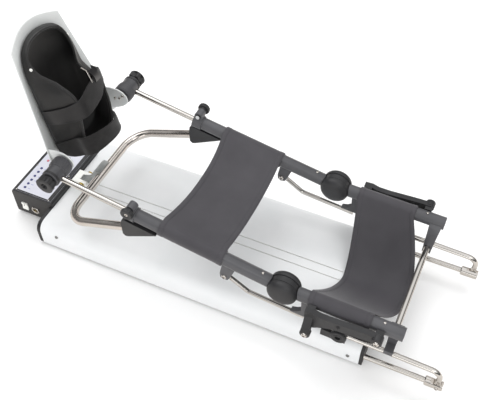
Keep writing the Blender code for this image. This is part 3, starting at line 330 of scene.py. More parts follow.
# Grey moulded motor housing: even, with a fine grain.
GREY_ABS = Finish("grey_abs", "8C8E90", "808284", 0.48, pattern=Pattern.PEBBLE, grain=1.4, relief=0.04)
# Printed polyester film of the keypad: pale blue grey, silky.
KEY_FILM = Finish("keypad_film", "CDCED7", "C6C7D1", 0.40, pattern=Pattern.PEBBLE, grain=1.0, relief=0.01)
# Moulded keys, smooth and a little glossy, and the flatter print beside them.
KEY_BLUE = Finish("blue_key", "2B3470", "262E66", 0.40, patch=10.0)
KEY_RED = Finish("red_key", "C4707A", "B8646E", 0.40, patch=10.0)
PRINT_BLUE = Finish("blue_print", "8C90BC", "868AB6", 0.45, patch=20.0)
PRINT_ROSE = Finish("rose_print", "E0A9B4", "D99FAB", 0.45, patch=20.0)
# Vacuum-formed plate: pale grey acrylic-faced sheet, semi-gloss.
PLATE_SHEET = Finish("pale_formed_sheet", "DADCDB", "D2D4D3", 0.30, pattern=Pattern.PEBBLE, grain=8.0,
                     relief=0.03)
# Coated nylon canvas of the slings; its 0.6 mm threads are drawn at 2 mm, as fine as the render can show.
CANVAS = Finish("coated_canvas", "424045", "3A383D", 0.62, pattern=Pattern.WEAVE, grain=2.0, relief=0.16,
                sheen=0.18, patch=90.0, stitched=True)
# Stretch cloth bonded over foam: the shoe, inside and out.
SHOE_CLOTH = Finish("foam_backed_cloth", "0A0909", "060505", 0.50, pattern=Pattern.FUZZ, grain=2.2,
                    relief=0.14, sheen=0.06, patch=45.0)
# Bound edge of the shoe: tighter braid, a little lighter.
BINDING = Finish("edge_binding", "191818", "131212", 0.60, pattern=Pattern.WEAVE, grain=2.0, relief=0.15,
                 sheen=0.2, patch=30.0)
# Smooth nylon lining of the strap's padded leg: black with a soft gloss on its folds.
LINING = Finish("smooth_lining", "121114", "0B0A0D", 0.36, pattern=Pattern.FUZZ, grain=3.0, relief=0.05,
                patch=25.0)
# Hook and loop webbing: loops stand up and go brown-black in the light.
LOOP_WEBBING = Finish("loop_webbing", "151212", "0D0A0A", 0.85, pattern=Pattern.FUZZ, grain=1.6, relief=0.35,
                      sheen=0.18, patch=18.0)


def placed(points: Array) -> Array:
    """Machine frame millimetres to world metres, for any array of points."""
    return (np.asarray(points, float) - MACHINE_ORIGIN) / 1000


def unit(vectors: Array) -> Array:
    """Vectors scaled to a length of 1 along the last axis."""
    vectors = np.asarray(vectors, float)
    return vectors / np.linalg.norm(vectors, axis=-1, keepdims=True)


def facing(grid: Array) -> Array:
    """Unit normals of a surface given as rows of points."""
    return unit(np.cross(np.gradient(grid, axis=0), np.gradient(grid, axis=1)))


def gone(grid: Array, axis: int) -> Array:
    """Distance gone over a surface from its first point, along its rows or its columns."""
    steps = np.linalg.norm(np.diff(grid, axis=axis), axis=2)
    return np.insert(np.cumsum(steps, axis=axis), 0, 0.0, axis=axis)


def circle(one: Array, other: Array, count: int) -> Array:
    """Unit circles: cos(t) * one + sin(t) * other, for one pair of directions or for many."""
    angle = (np.arange(count) * 2 * math.pi / count)[:, None]
    return np.cos(angle) * one[..., None, :] + np.sin(angle) * other[..., None, :]


def curve(points: Array, places: Array) -> Array:
    """Catmull-Rom curve through points, which follow one another in a ring.

    With p1 and p2 the points on both sides of a place, p0 and p3 the next ones and f its share of the way, it
    is (2 p1 + (p2 - p0) f + (2 p0 - 5 p1 + 4 p2 - p3) f ** 2 + (3 p1 - p0 - 3 p2 + p3) f ** 3) / 2.

    Args:
        points: one row for each point.
        places: where to draw it, counted in points.

    Returns:
        One row for each place.
    """
    whole = np.floor(places).astype(int)
    f = (places - whole)[:, None]
    p0, p1, p2, p3 = (points[(whole + k) % len(points)] for k in (-1, 0, 1, 2))
    return 0.5 * (2 * p1 + (p2 - p0) * f + (2 * p0 - 5 * p1 + 4 * p2 - p3) * f ** 2
                  + (3 * p1 - p0 - 3 * p2 + p3) * f ** 3)


@dataclass(frozen=True)
class Axis:
    """Axis of a tube or rod: its start in x and z, its rise for each millimetre, and its direction in x."""

    start: Pair
    slope: float
    towards: int

    def at(self, s: Array, h: Array, y: Array) -> Array:
        """Points s along, h square to the axis and y across: start + s * e + h * (e turned by 90 degrees).

        Args:
            s: distance along the axis.
            h: distance square to it, upwards.
            y: place across the machine.

        Returns:
            The points, in the arrays' common shape.
        """
        scale = math.hypot(1, self.slope)
        ex, ez = self.towards / scale, self.slope / scale
        s, h, y = np.broadcast_arrays(*(np.asarray(value, float) for value in (s, h, y)))
        return np.stack([self.start[0] + s * ex - h * ez * self.towards, y,
                         self.start[1] + s * ez + h * ex * self.towards], axis=-1)


THIGH = Axis(KNEE, -0.034, 1)
CALF = Axis(KNEE, 0.193, -1)


def make_mesh(name: str, points: Array, faces: list, finish: Finish, uv: Array | None = None,
              sharp: float = 35.0) -> Thing:
    """Puts points and faces into a named object at the world's origin.

    Args:
        name: name of the piece.
        points: points in machine millimetres, one row each.
        faces: tuples of point numbers, facing out.
        finish: the piece's finish.
        uv: a pair in metres for each point.
        sharp: edges that turn more than this, in degrees, stay crisp.

    Returns:
        The object, not yet riding on a body.
    """
    mesh = bpy.data.meshes.new(name)
    mesh.from_pydata(placed(points).tolist(), [], faces)
    if uv is not None:
        layer = mesh.uv_layers.new(name="cloth")
        corners = np.empty(len(mesh.loops), np.int32)
        mesh.loops.foreach_get("vertex_index", corners)
        layer.data.foreach_set("uv", np.asarray(uv, np.float32)[corners].ravel())
    return finished(name, mesh, finish, sharp)


def finished(name: str, mesh: bpy.types.Mesh, finish: Finish, sharp: float) -> Thing:
    """Object of a mesh with its finish, shaded smooth but crisp where it turns more than sharp degrees.

    Args:
        name: name of the piece.
        mesh: its mesh.
        finish: its finish.
        sharp: edges that turn more than this, in degrees, stay crisp.

    Returns:
        The object, not yet riding on a body.
    """
    mesh.materials.clear()
    mesh.materials.append(finish.material())
    mesh.shade_smooth()
    mesh.set_sharp_from_angle(angle=math.radians(sharp))
    piece = bpy.data.objects.new(name, mesh)
    bpy.context.scene.collection.objects.link(piece)
    return piece


def quads(rows: int, columns: int, wrap: bool) -> list:
    """Faces of a grid of points, row after row; wrap joins the last column to the first.

    Args:
        rows: number of rows.
        columns: points in each row.
        wrap: whether the last column joins the first.

    Returns:
        Four point numbers for each face.
    """
    numbers = np.arange(rows * columns).reshape(rows, columns)
    right = np.roll(numbers, -1, axis=1)
    stack = np.stack([numbers[:-1], right[:-1], right[1:], numbers[1:]], axis=-1)
    return (stack if wrap else stack[:, :-1]).reshape(-1, 4).tolist()


def outwards(points: Array, faces: list) -> list:
    """Faces of a closed surface, turned over if the volume that they close comes out below zero.

    Args:
        points: the surface's points.
        faces: its faces, all turned the same way.

    Returns:
        The faces, facing out.
    """
    corner = np.array([face[:3] for face in faces])
    a, b, c = (points[corner[:, k]] - points.mean(axis=0) for k in range(3))
    inside_out = np.einsum("ij,ij->i", a, np.cross(b, c)).sum() < 0
    return [face[::-1] for face in faces] if inside_out else faces


def closed_grid(grid: Array) -> tuple[Array, list]:
    """Closes a grid whose columns run all the way round with a flat cap at each end.

    Args:
        grid: rows of rings of points.

    Returns:
        The points and the faces, facing out.
    """
    rows, columns = grid.shape[:2]
    points = grid.reshape(-1, 3)
    first = list(range(columns))
    last = list(range((rows - 1) * columns, rows * columns))
    return points, outwards(points, quads(rows, columns, True) + [first[::-1], last])


def block(name: str, low: Point, high: Point, finish: Finish) -> Thing:
    """Block with flat faces between its lowest and its highest corner.

    Args:
        name: name of the piece.
        low: its lowest corner.
        high: its highest corner.
        finish: the finish.

    Returns:
        The object.
    """
    ring = ((low[0], low[1]), (high[0], low[1]), (high[0], high[1]), (low[0], high[1]))
    rings = np.array([[(*corner, z) for corner in ring] for z in (low[2], high[2])])
    return make_mesh(name, *closed_grid(rings), finish)


def across(direction: Array) -> tuple[Array, Array]:
    """Two unit vectors square to a direction and to each other.

    Args:
        direction: the direction, of any length.

    Returns:
        Both unit vectors.
    """
    direction = unit(direction)
    side = unit(np.cross(direction, (0.0, 1.0, 0.0) if abs(direction[1]) < 0.9 else (1.0, 0.0, 0.0)))
    return side, np.cross(direction, side)


def turned(name: str, profile: list[Pair], origin: Array, axis: Point, finish: Finish, sides: int,
           lobes: int = 0, depth: float = 0.0, lobed: Pair = (0.0, 0.0)) -> Thing:
    """Surface of revolution: radius r(t) at distance a(t), with r less depth * (1 + cos(n * angle)) / 2.

    Args:
        name: name of the piece.
        profile: (radius, distance along the axis) from one end to the other.
        origin: start of the axis.
        axis: direction of the axis.
        finish: the finish.
        sides: points round the axis.
        lobes: number n of finger hollows or grip ribs.
        depth: how deep they are.
        lobed: distances along the axis between which they run.

    Returns:
        The object.
    """
    radius, along = np.array(profile, float).T
    angle = np.arange(sides) * 2 * math.pi / sides
    inside = (along >= lobed[0] - 1e-6) & (along <= lobed[1] + 1e-6) & (lobes > 0)
    cutting = np.where(inside, depth, 0.0)[:, None] * (1 + np.cos(lobes * angle)[None, :]) / 2
    reach = np.maximum(radius[:, None] - cutting, 0.02)
    grid = np.asarray(origin, float) + along[:, None, None] * unit(axis) + reach[:, :, None] * circle(
        *across(axis), sides)
    return make_mesh(name, *closed_grid(grid), finish)


def pipe(name: str, path: Array, radius: float, normal: Point, finish: Finish, sides: int = 32) -> Thing:
    """Round tube about a path that lies in a plane: centre + r * (cos * normal + sin * (tangent x normal)).

    Args:
        name: name of the piece.
        path: points of the centre line.
        radius: radius of the tube.
        normal: direction square to the plane of the path.
        finish: the finish.
        sides: points round the tube.

    Returns:
        The object, with flat ends.
    """
    up = unit(normal)
    ring = circle(up, np.cross(unit(np.gradient(path, axis=0)), up), sides)
    return make_mesh(name, *closed_grid(path[:, None, :] + radius * ring), finish)


def bent(corners: Array, radius: float, steps: int) -> Array:
    """Straight runs joined by circular bends, as points; each bend is centre + slerp of its two end radii.

    Args:
        corners: both ends, and between them the corners that are rounded off.
        radius: radius of the bends.
        steps: runs in each bend.

    Returns:
        One row for each point.
    """
    corners = np.asarray(corners, float)
    parts = [corners[:1]]
    for before, corner, after in zip(corners[:-2], corners[1:-1], corners[2:]):
        into, out = unit(before - corner), unit(after - corner)
        half = math.acos(float(np.clip(into @ out, -1, 1))) / 2
        centre = corner + unit(into + out) * radius / math.sin(half)
        start = corner + into * radius / math.tan(half) - centre
        end = corner + out * radius / math.tan(half) - centre
        opening = math.acos(float(np.clip(start @ end / radius ** 2, -1, 1)))
        part = np.linspace(0, 1, steps + 1)[:, None]
        arc = np.sin((1 - part) * opening) * start + np.sin(part * opening) * end
        parts.append(centre + arc / math.sin(opening))
    return np.concatenate(parts + [corners[-1:]])


def cloth(name: str, grid: Array, thickness: float, finish: Finish) -> Thing:
    """Closed sheet: every point of the middle surface moved half the thickness along and against its normal.

    Args:
        name: name of the piece.
        grid: middle surface; rows run from one cut edge to the other, columns along the edge.
        thickness: distance between the faces.
        finish: the finish, whose UV x is the distance to the nearer cut edge and y the distance along it.

    Returns:
        The object.
    """
    rows, columns = grid.shape[:2]
    count = rows * columns
    normal = facing(grid)
    points = np.concatenate([(grid + way * normal * thickness / 2).reshape(-1, 3) for way in (1, -1)])
    upper = quads(rows, columns, False)
    numbers = np.arange(count).reshape(rows, columns)
    rim = np.concatenate([numbers[0], numbers[1:, -1], numbers[-1, -2::-1], numbers[-2:0:-1, 0]])
    after = np.roll(rim, -1)
    border = np.stack([after, rim, rim + count, after + count], axis=1).tolist()
    faces = upper + (np.array(upper)[:, ::-1] + count).tolist() + border
    a, b, c = points[upper[len(upper) // 2][:3]]
    if np.cross(b - a, c - a) @ normal[rows // 2, columns // 2] < 0:
        faces = [face[::-1] for face in faces]
    run = gone(grid, 0)
    uv = np.stack([np.minimum(run, run[-1] - run), gone(grid, 1)], axis=2).reshape(-1, 2) / 1000
    return make_mesh(name, points, faces, finish, np.concatenate([uv, uv]), 60.0)


def rounded(piece: Thing, width: float, angle: float, segments: int = 2, harden: bool = False) -> Thing:
    """Rounds a piece's edges over.

    Args:
        piece: the piece.
        width: radius of the edges in millimetres.
        angle: smallest turn, in degrees, that counts as an edge.
        segments: steps round each edge.
        harden: whether the faces beside the edges keep their own normals.

    Returns:
        The piece.
    """
    edge = piece.modifiers.new("rounded", "BEVEL")
    edge.width, edge.segments, edge.limit_method = width / 1000, segments, "ANGLE"
    edge.angle_limit = math.radians(angle)
    edge.harden_normals = harden
    return piece


def softened(node: str, finish: Finish, width: float) -> Thing:
    """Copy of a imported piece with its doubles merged, its flat faces made whole and its edges rounded over.

    Args:
        node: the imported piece, which the copy replaces.
        finish: the finish.
        width: radius of the edges in millimetres.

    Returns:
        The object, riding on the node's body.
    """
    source = bpy.data.objects[node]
    mesh = source.data.copy()
    shape = bmesh.new()
    shape.from_mesh(mesh)
    bmesh.ops.remove_doubles(shape, verts=shape.verts, dist=2e-6)
    bmesh.ops.dissolve_limit(shape, angle_limit=math.radians(0.6), verts=shape.verts, edges=shape.edges)
    shape.to_mesh(mesh)
    shape.free()
    piece = rounded(finished(node + "_finished", mesh, finish, SOFT_EDGE), width, SOFT_EDGE, harden=True)
    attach(piece, source["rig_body"])
    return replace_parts(piece, node)


def screw_head(name: str, centre: Point, axis: Point, radius: float, body: str,
               finish: Finish = CHROME) -> Thing:
    """Domed screw head with a sunk drive: a profile that rises to the dome and drops into the recess.

    Args:
        name: name of the piece.
        centre: middle of its seat.
        axis: the way that it faces.
        radius: its radius.
        body: the body that it rides on.
        finish: the finish.

    Returns:
        The object.
    """
    dome = ((1.0, 0.25), (0.9, 0.5), (0.68, 0.66), (0.45, 0.7), (0.4275, 0.3))
    profile = [(radius, -0.4)] + [(radius * r, radius * a) for r, a in dome] + [(0.05, radius * 0.26)]
    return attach(turned(name, profile, centre, axis, finish, 24), body)


@dataclass
class Base:
    """The white cover, its end plates, the feet and the drive inside."""

    screws: tuple[Pair, ...] = ((48.0, 35.4), (672.0, 16.2))
    shoulder: Pair = (31.5, 21.0)
    half_width: float = 135.0
    slot_y: float = 10.1
    slot_x: Pair = (27.2, 611.8)
    lip: Pair = (0.54, 0.88)
    lip_z: Pair = (50.8, 52.0)
    thread_start: Point = (10.4, 0.0, 27.0)
    thread_pitch: float = 4.0
    thread_length: float = 629.4

    def build(self) -> list[Thing]:
        """Rounds over the folded and cast pieces, and adds the slots' lips and the cover's screws.

        Returns:
            The pieces.
        """
        pieces = [softened("base_cover", COVER_ENAMEL, 0.5), softened("foot_end_cap", BLACK_ENAMEL, 1.4),
                  softened("hip_end_plate", BLACK_ENAMEL, 1.2), softened("base_tray", ZINC, 0.3),
                  softened("foot_strip_front", RUBBER, 1.0), softened("foot_strip_rear", RUBBER, 1.0),
                  softened("drive_motor", GREY_ABS, 0.8)]
        near, far = self.lip
        for number, centre in enumerate((-self.slot_y, self.slot_y), 1):
            for name, start, end in (("inner", -far, -near), ("outer", near, far)):
                seal = block(f"slot_seal_{number}_{name}", (self.slot_x[0], centre + start, self.lip_z[0]),
                             (self.slot_x[1], centre + end, self.lip_z[1]), ACETAL)
                pieces.append(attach(seal, "base"))
        low, radius = self.shoulder
        for side in Side:
            for number, (x, z) in enumerate(self.screws, 1):
                drop = radius - math.sqrt(radius ** 2 - max(z - low, 0.0) ** 2)
                seat = (x, side.value * (self.half_width - drop), z)
                pieces.append(screw_head(f"cover_screw_{number}{side.suffix}", seat, side.out, 3.4, "base",
                                         TURNED_STEEL))
        return pieces

    def build_screw(self) -> list[Thing]:
        """Lead screw with its thread: radius 5 less a groove once every pitch, drawn as rings.

        Returns:
            The screw, in a list.
        """
        along = np.linspace(0, self.thread_length, 630)
        radius = 4.55 + 0.45 * np.cos(2 * math.pi * along / self.thread_pitch)
        rings = [(0.05, 0.0), *zip(radius.tolist(), along.tolist()), (0.05, self.thread_length + 0.1)]
        piece = turned("threaded_screw", rings, self.thread_start, (1, 0, 0), TURNED_STEEL, 20)
        return [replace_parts(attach(piece, "screw"), "lead_screw")]


@dataclass
class Controls:
    """Control housing at the foot end: keypad, rocker and handset socket."""

    key_z: float = 59.0
    key_x: float = -68.7
    key_ys: Row = (-67.1, -55.6, -44.3, -32.3, -19.6, -8.1, 16.1)
    film_z: float = 65.1
    mouth: Point = (-41.5, -86.5, 22.4)
    pins: int = 5
    pin_circle: float = 3.2

    def build(self) -> list[Thing]:
        """Housing, film, keys, print, corner screws, rocker and socket.

        Returns:
            The pieces.
        """
        pieces = [softened("control_housing", BLACK_ENAMEL, 1.2), softened("keypad_overlay", KEY_FILM, 0.25),
                  softened("power_switch", ACETAL, 0.7)]
        dome = [(2.0, 0.0), (2.0, 6.0), (2.6, 6.0), (2.6, 6.6), (2.4, 7.0), (1.7, 7.3), (0.05, 7.4)]
        for number, y in enumerate(self.key_ys, 1):
            key = turned(f"domed_key_{number}", dome, (self.key_x, y, self.key_z), UP,
                         KEY_RED if y > 0 else KEY_BLUE, 28)
            pieces.append(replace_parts(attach(key, f"key_{number}"), f"key_{number}"))
        mark = block("rocker_mark", (-68.2, -86.1, 26.5), (-66.8, -85.5, 30.5), BLACK_NYLON)
        pieces.append(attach(mark, bpy.data.objects["power_switch"]["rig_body"]))
        return pieces + self._print() + self._screws() + self._socket()

    def _print(self) -> list[Thing]:
        """Plain bars beside the keys, in place of legends, and the film's border, all 0.05 mm proud.

        Returns:
            The bars.
        """
        marks = [(f"key_bar_{number}", self.key_x + 10, y, (2.6, 0.7), PRINT_ROSE if y > 0 else PRINT_BLUE)
                 for number, y in enumerate(self.key_ys, 1)]
        marks += [("film_border_" + name, x, y, half, BLACK_NYLON) for name, x, y, half in (
            ("foot", -85.2, 0.0, (2.8, 80.0)), ("base", -1.4, 0.0, (4.4, 80.0)),
            ("near", -44.0, -78.4, (38.2, 1.6)), ("far", -44.0, 78.4, (38.2, 1.6)))]
        return [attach(block(name, (x - half[0], y - half[1], self.film_z - 0.05),
                              (x + half[0], y + half[1], self.film_z + 0.05), finish), "base")
                for name, x, y, half, finish in marks]

    def _screws(self) -> list[Thing]:
        """Small bright screws in the corners of the film."""
        return [screw_head(f"film_screw_{i}{j}", (x, y, self.film_z - 0.2), UP, 1.9, "base")
                for i, x in enumerate((-82.2, -3.0)) for j, y in enumerate((-77.5, -3.6, 76.0))]

    def _socket(self) -> list[Thing]:
        """Round socket: a bright ring with a rolled lip and a dark insert with five pins.

        Returns:
            The pieces.
        """
        mouth = np.array(self.mouth)
        lip = [(5.6, 12.0), (5.6, 1.2), (6.0, 0.3), (6.9, 0.0), (8.6, 0.0), (9.4, 0.8), (9.4, 2.2),
               (7.5, 2.2), (7.5, 14.0), (5.6, 14.0)]
        insert = [(0.05, 2.6), (5.2, 2.6), (5.5, 3.0), (5.5, 12.0)]
        pin = [(0.05, 0.0), (0.35, 0.0), (0.6, 0.4), (0.6, 3.0)]
        pieces = [turned("socket_ring", lip, mouth, (0, 1, 0), CHROME, 40),
                  turned("socket_insert", insert, mouth, (0, 1, 0), BLACK_NYLON, 32)]
        for number in range(self.pins):
            angle = 2 * math.pi * number / self.pins
            seat = mouth + (self.pin_circle * math.sin(angle), 1.4, self.pin_circle * math.cos(angle))
            pieces.append(turned(f"socket_pin_{number + 1}", pin, seat, (0, 1, 0), YELLOW_ZINC, 12))
        for piece in pieces:
            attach(piece, "base")
        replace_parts(pieces[0], "handset_socket")
        return pieces


@dataclass
class HipRods:
    """Chrome rods behind the hip: fixed lower rods with forks, hinged upper rods, their clamps and knobs."""

    fork_pin: Point = (835.0, 137.8, 25.0)
    upper: Axis = Axis((739.0, 71.5), -0.038, 1)
    knob_place: Point = (-88.0, 10.5, 137.2)

    def build(self) -> list[Thing]:
        """Rods, clamps, knobs and the heads of the fork pins on both sides.

        Returns:
            The pieces.
        """
        pieces = []
        for side in Side:
            end, (x, y, z) = side.suffix, self.fork_pin
            pieces += [softened("lower_rod" + end, CHROME, 0.35), softened("upper_rod" + end, CHROME, 0.25),
                       softened("rod_clamp" + end, BLACK_NYLON, 0.7), self._knob(side),
                       screw_head("fork_pin_head" + end, (x, side.value * y, z), side.out, 3.4, "base")]
        return pieces

    def _knob(self, side: Side) -> Thing:
        """Clamp knob: fluted rim, rounded face with a shallow ring, and a sunk recess.

        Args:
            side: side of the machine.

        Returns:
            The knob.
        """
        s, h, y = self.knob_place
        profile = [(3.0, 0.0), (3.0, 4.6), (13.4, 4.6), (14.5, 5.0), (15.0, 6.0), (15.0, 10.4), (14.6, 11.4),
                   (13.4, 12.1), (11.0, 12.3), (10.4, 11.7), (8.6, 11.6), (8.0, 12.2), (6.2, 12.3),
                   (5.4, 11.9), (5.2, 8.4), (0.05, 8.3)]
        piece = turned("fluted_knob" + side.suffix, profile, self.upper.at(s, h, side.value * y), side.out,
                       BLACK_NYLON, 96, lobes=24, depth=0.7, lobed=(5.0, 11.6))
        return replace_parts(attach(piece, "rod_knob" + side.suffix), "clamp_knob" + side.suffix)


@dataclass
class Sling:
    """Cloth sling between the two tubes of one frame, with a sleeve round each tube.

    The front and the rear edge each give their place along the tubes, the bow, the sag and the sag's power.
    """

    name: str
    node: str
    body: str
    axis: Axis
    front: tuple[float, float, float, float]
    rear: tuple[float, float, float, float]
    tube_y: float = TUBE_Y
    tube_radius: float = 12.5
    clearance: float = 0.7
    thickness: float = 1.5
    rows: int = 56

    def middle(self) -> Array:
        """Middle surface of the cloth.

        A line round one tube from 25 degrees clockwise, across with height h0 - sag * (1 - |y / y0| ** p),
        and round the other tube; its place along the tube moves by bow * (1 - |y / y0| ** p), and soft folds
        of 0.7 mm run up from the tubes.

        Returns:
            Rows from edge to edge, columns from sleeve to sleeve.
        """
        radius = self.tube_radius + self.clearance + self.thickness / 2
        part = np.linspace(0, 1, self.rows)[:, None]
        place, bow, sag, power = (a + (b - a) * part for a, b in zip(self.front, self.rear))
        leave = 78.0 - np.minimum(sag * 0.5, 38.0)
        turn = np.radians(25.0 + (leave - 360.0 - 25.0) * np.linspace(0, 1, 40)[None, :])
        wrap_y = -self.tube_y + radius * np.cos(turn)
        wrap_h = radius * np.sin(turn)
        y0, h0 = wrap_y[:, -1:], wrap_h[:, -1:]
        share = np.linspace(0, 1, 74)[None, 1:-1]
        line_y = y0 - 2 * y0 * share
        drop = 1 - np.abs(line_y / y0) ** power
        fold = 0.7 * np.sin(part * 21.0 + 1.3 * np.sin(6.0 * share)) * (1 - 0.6 * drop)
        line_h = h0 - sag * drop + fold * np.sin(math.pi * share) ** 0.5
        y = np.concatenate([wrap_y, line_y, -wrap_y[:, ::-1]], axis=1)
        h = np.concatenate([wrap_h, line_h, wrap_h[:, ::-1]], axis=1)
        inside = 1 - np.minimum(np.abs(y) / (self.tube_y - radius), 1.0) ** power
        return self.axis.at(place + bow * inside, h, y)

    def build(self) -> list[Thing]:
        """Cloth with hems.

        Returns:
            The cloth and its hems.
        """
        grid = self.middle()
        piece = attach(cloth(self.name, grid, self.thickness, CANVAS), self.body)
        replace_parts(piece, self.node)
        hems = self._hems(grid)
        return [piece] + hems

    def _hems(self, grid: Array) -> list[Thing]:
        """Folded hem along each cut edge: a second layer 9 mm wide on the outer face.

        Args:
            grid: middle surface of the cloth.

        Returns:
            Both hems.
        """
        pieces = []
        normal = facing(grid)
        steps = np.array([-0.5, 0.2, 4.5, 8.6, 9.0])[:, None, None]
        lift = np.array([0.0, 0.62, 0.66, 0.6, 0.1])[:, None, None] + self.thickness / 2 - 0.3
        for end, edge, next_to_it in (("front", 0, 1), ("rear", -1, -2)):
            hem = grid[edge] + steps * unit(grid[next_to_it] - grid[edge]) + lift * normal[edge]
            pieces.append(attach(cloth(f"{self.name}_{end}_hem", hem[:, 2:-2], 0.5, CANVAS), self.body))
        return pieces


@dataclass
class Knee:
    """Knee hinge of one side: a ball of two domed cheeks with the calf's disc turning between them."""

    side: Side
    radius: float = 28.0
    inner: float = 6.3
    outer: float = 23.5

    def build(self) -> list[Thing]:
        """Disc, and both cheeks joined by the pin.

        Returns:
            The pieces.
        """
        end, sign = self.side.suffix, self.side.value
        seat = (KNEE[0], sign * TUBE_Y, KNEE[1])
        angle = np.radians(np.linspace(0, 84, 22))
        depth = self.outer - self.inner - 4.0
        cheek = [(0.05, self.inner), (self.radius - 0.8, self.inner), (self.radius, self.inner + 0.8),
                 (self.radius, self.inner + 3.6)]
        cheek += [(self.radius * math.cos(a) ** 0.72, self.inner + 4.0 + depth * math.sin(a)) for a in angle]
        cheek += [(0.05, self.outer)]
        housing, other = (turned(f"knee_cheek_{name}{end}", cheek, seat, (0, way, 0), BLACK_NYLON, 96)
                          for name, way in (("outer", sign), ("inner", -sign)))
        pin = turned("knee_pin" + end, [(6.0, -6.6), (6.0, 6.6)], seat, (0, 1, 0), TURNED_STEEL, 32)
        for piece in (housing, other, pin):
            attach(piece, "thigh")
        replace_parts(housing, "knee_housing" + end)
        return [softened("knee_disc" + end, BLACK_NYLON, 0.8), housing, other, pin]


@dataclass
class ThighFrame:
    """Thigh tubes with their feet on the rods, side arms, cross bar and knee hinges."""

    pin_x: float = 722.0
    tube_radius: float = 12.3
    plug_s: float = 216.0
    mid_screw: Point = (652.0, 161.0, 139.0)
    bosses: tuple[tuple[str, float, float, float, float], ...] = (
        ("front", 600.0, 179.6, 109.0, 12.0), ("rear", 720.0, 167.0, 144.0, 14.0))

    def build(self) -> list[Thing]:
        """Both sides and the bar between them.

        Returns:
            The pieces.
        """
        pieces = [softened("cross_bar", CHROME, 0.3)]
        pin_z = THIGH.start[1] + THIGH.slope * (self.pin_x - THIGH.start[0]) + self.tube_radius
        for side in Side:
            end, sign = side.suffix, side.value
            pieces += [softened("thigh_tube" + end, TUBE_ENAMEL, 0.6),
                       softened("side_arm" + end, BLACK_NYLON, 1.0), *Knee(side).build(), self._plug(side),
                       screw_head("thigh_pin" + end, (self.pin_x, sign * TUBE_Y, pin_z), UP, 2.6, "thigh")]
            for place, x, y, z, reach in self.bosses:
                profile = [(8.2, -reach), (9.4, -reach + 1), (9.4, -1.2), (8.8, -0.3), (6.4, 0.0),
                           (0.05, 0.0)]
                seat = (x, sign * y, z)
                boss = turned(f"arm_{place}_boss{end}", profile, seat, side.out, BLACK_NYLON, 40)
                pieces.append(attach(boss, "thigh"))
                pieces.append(screw_head(f"arm_{place}_screw{end}", seat, side.out, 5.2, "thigh"))
            x, y, z = self.mid_screw
            pieces.append(screw_head("arm_mid_screw" + end, (x, sign * y, z), side.out, 3.2, "thigh",
                                     BLACK_NYLON))
        return pieces

    def _plug(self, side: Side) -> Thing:
        """Push-in cap of the tube's open end: a shallow dome inside the bore.

        Args:
            side: side of the machine.

        Returns:
            The plug.
        """
        profile = [(9.7, -12.0), (9.7, 0.0), (9.3, 0.6), (6.0, 1.2), (0.05, 1.4)]
        piece = turned("tube_plug" + side.suffix, profile, THIGH.at(self.plug_s, 0, side.value * TUBE_Y),
                       (1.0, 0.0, THIGH.slope), BLACK_NYLON, 40)
        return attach(piece, "thigh")


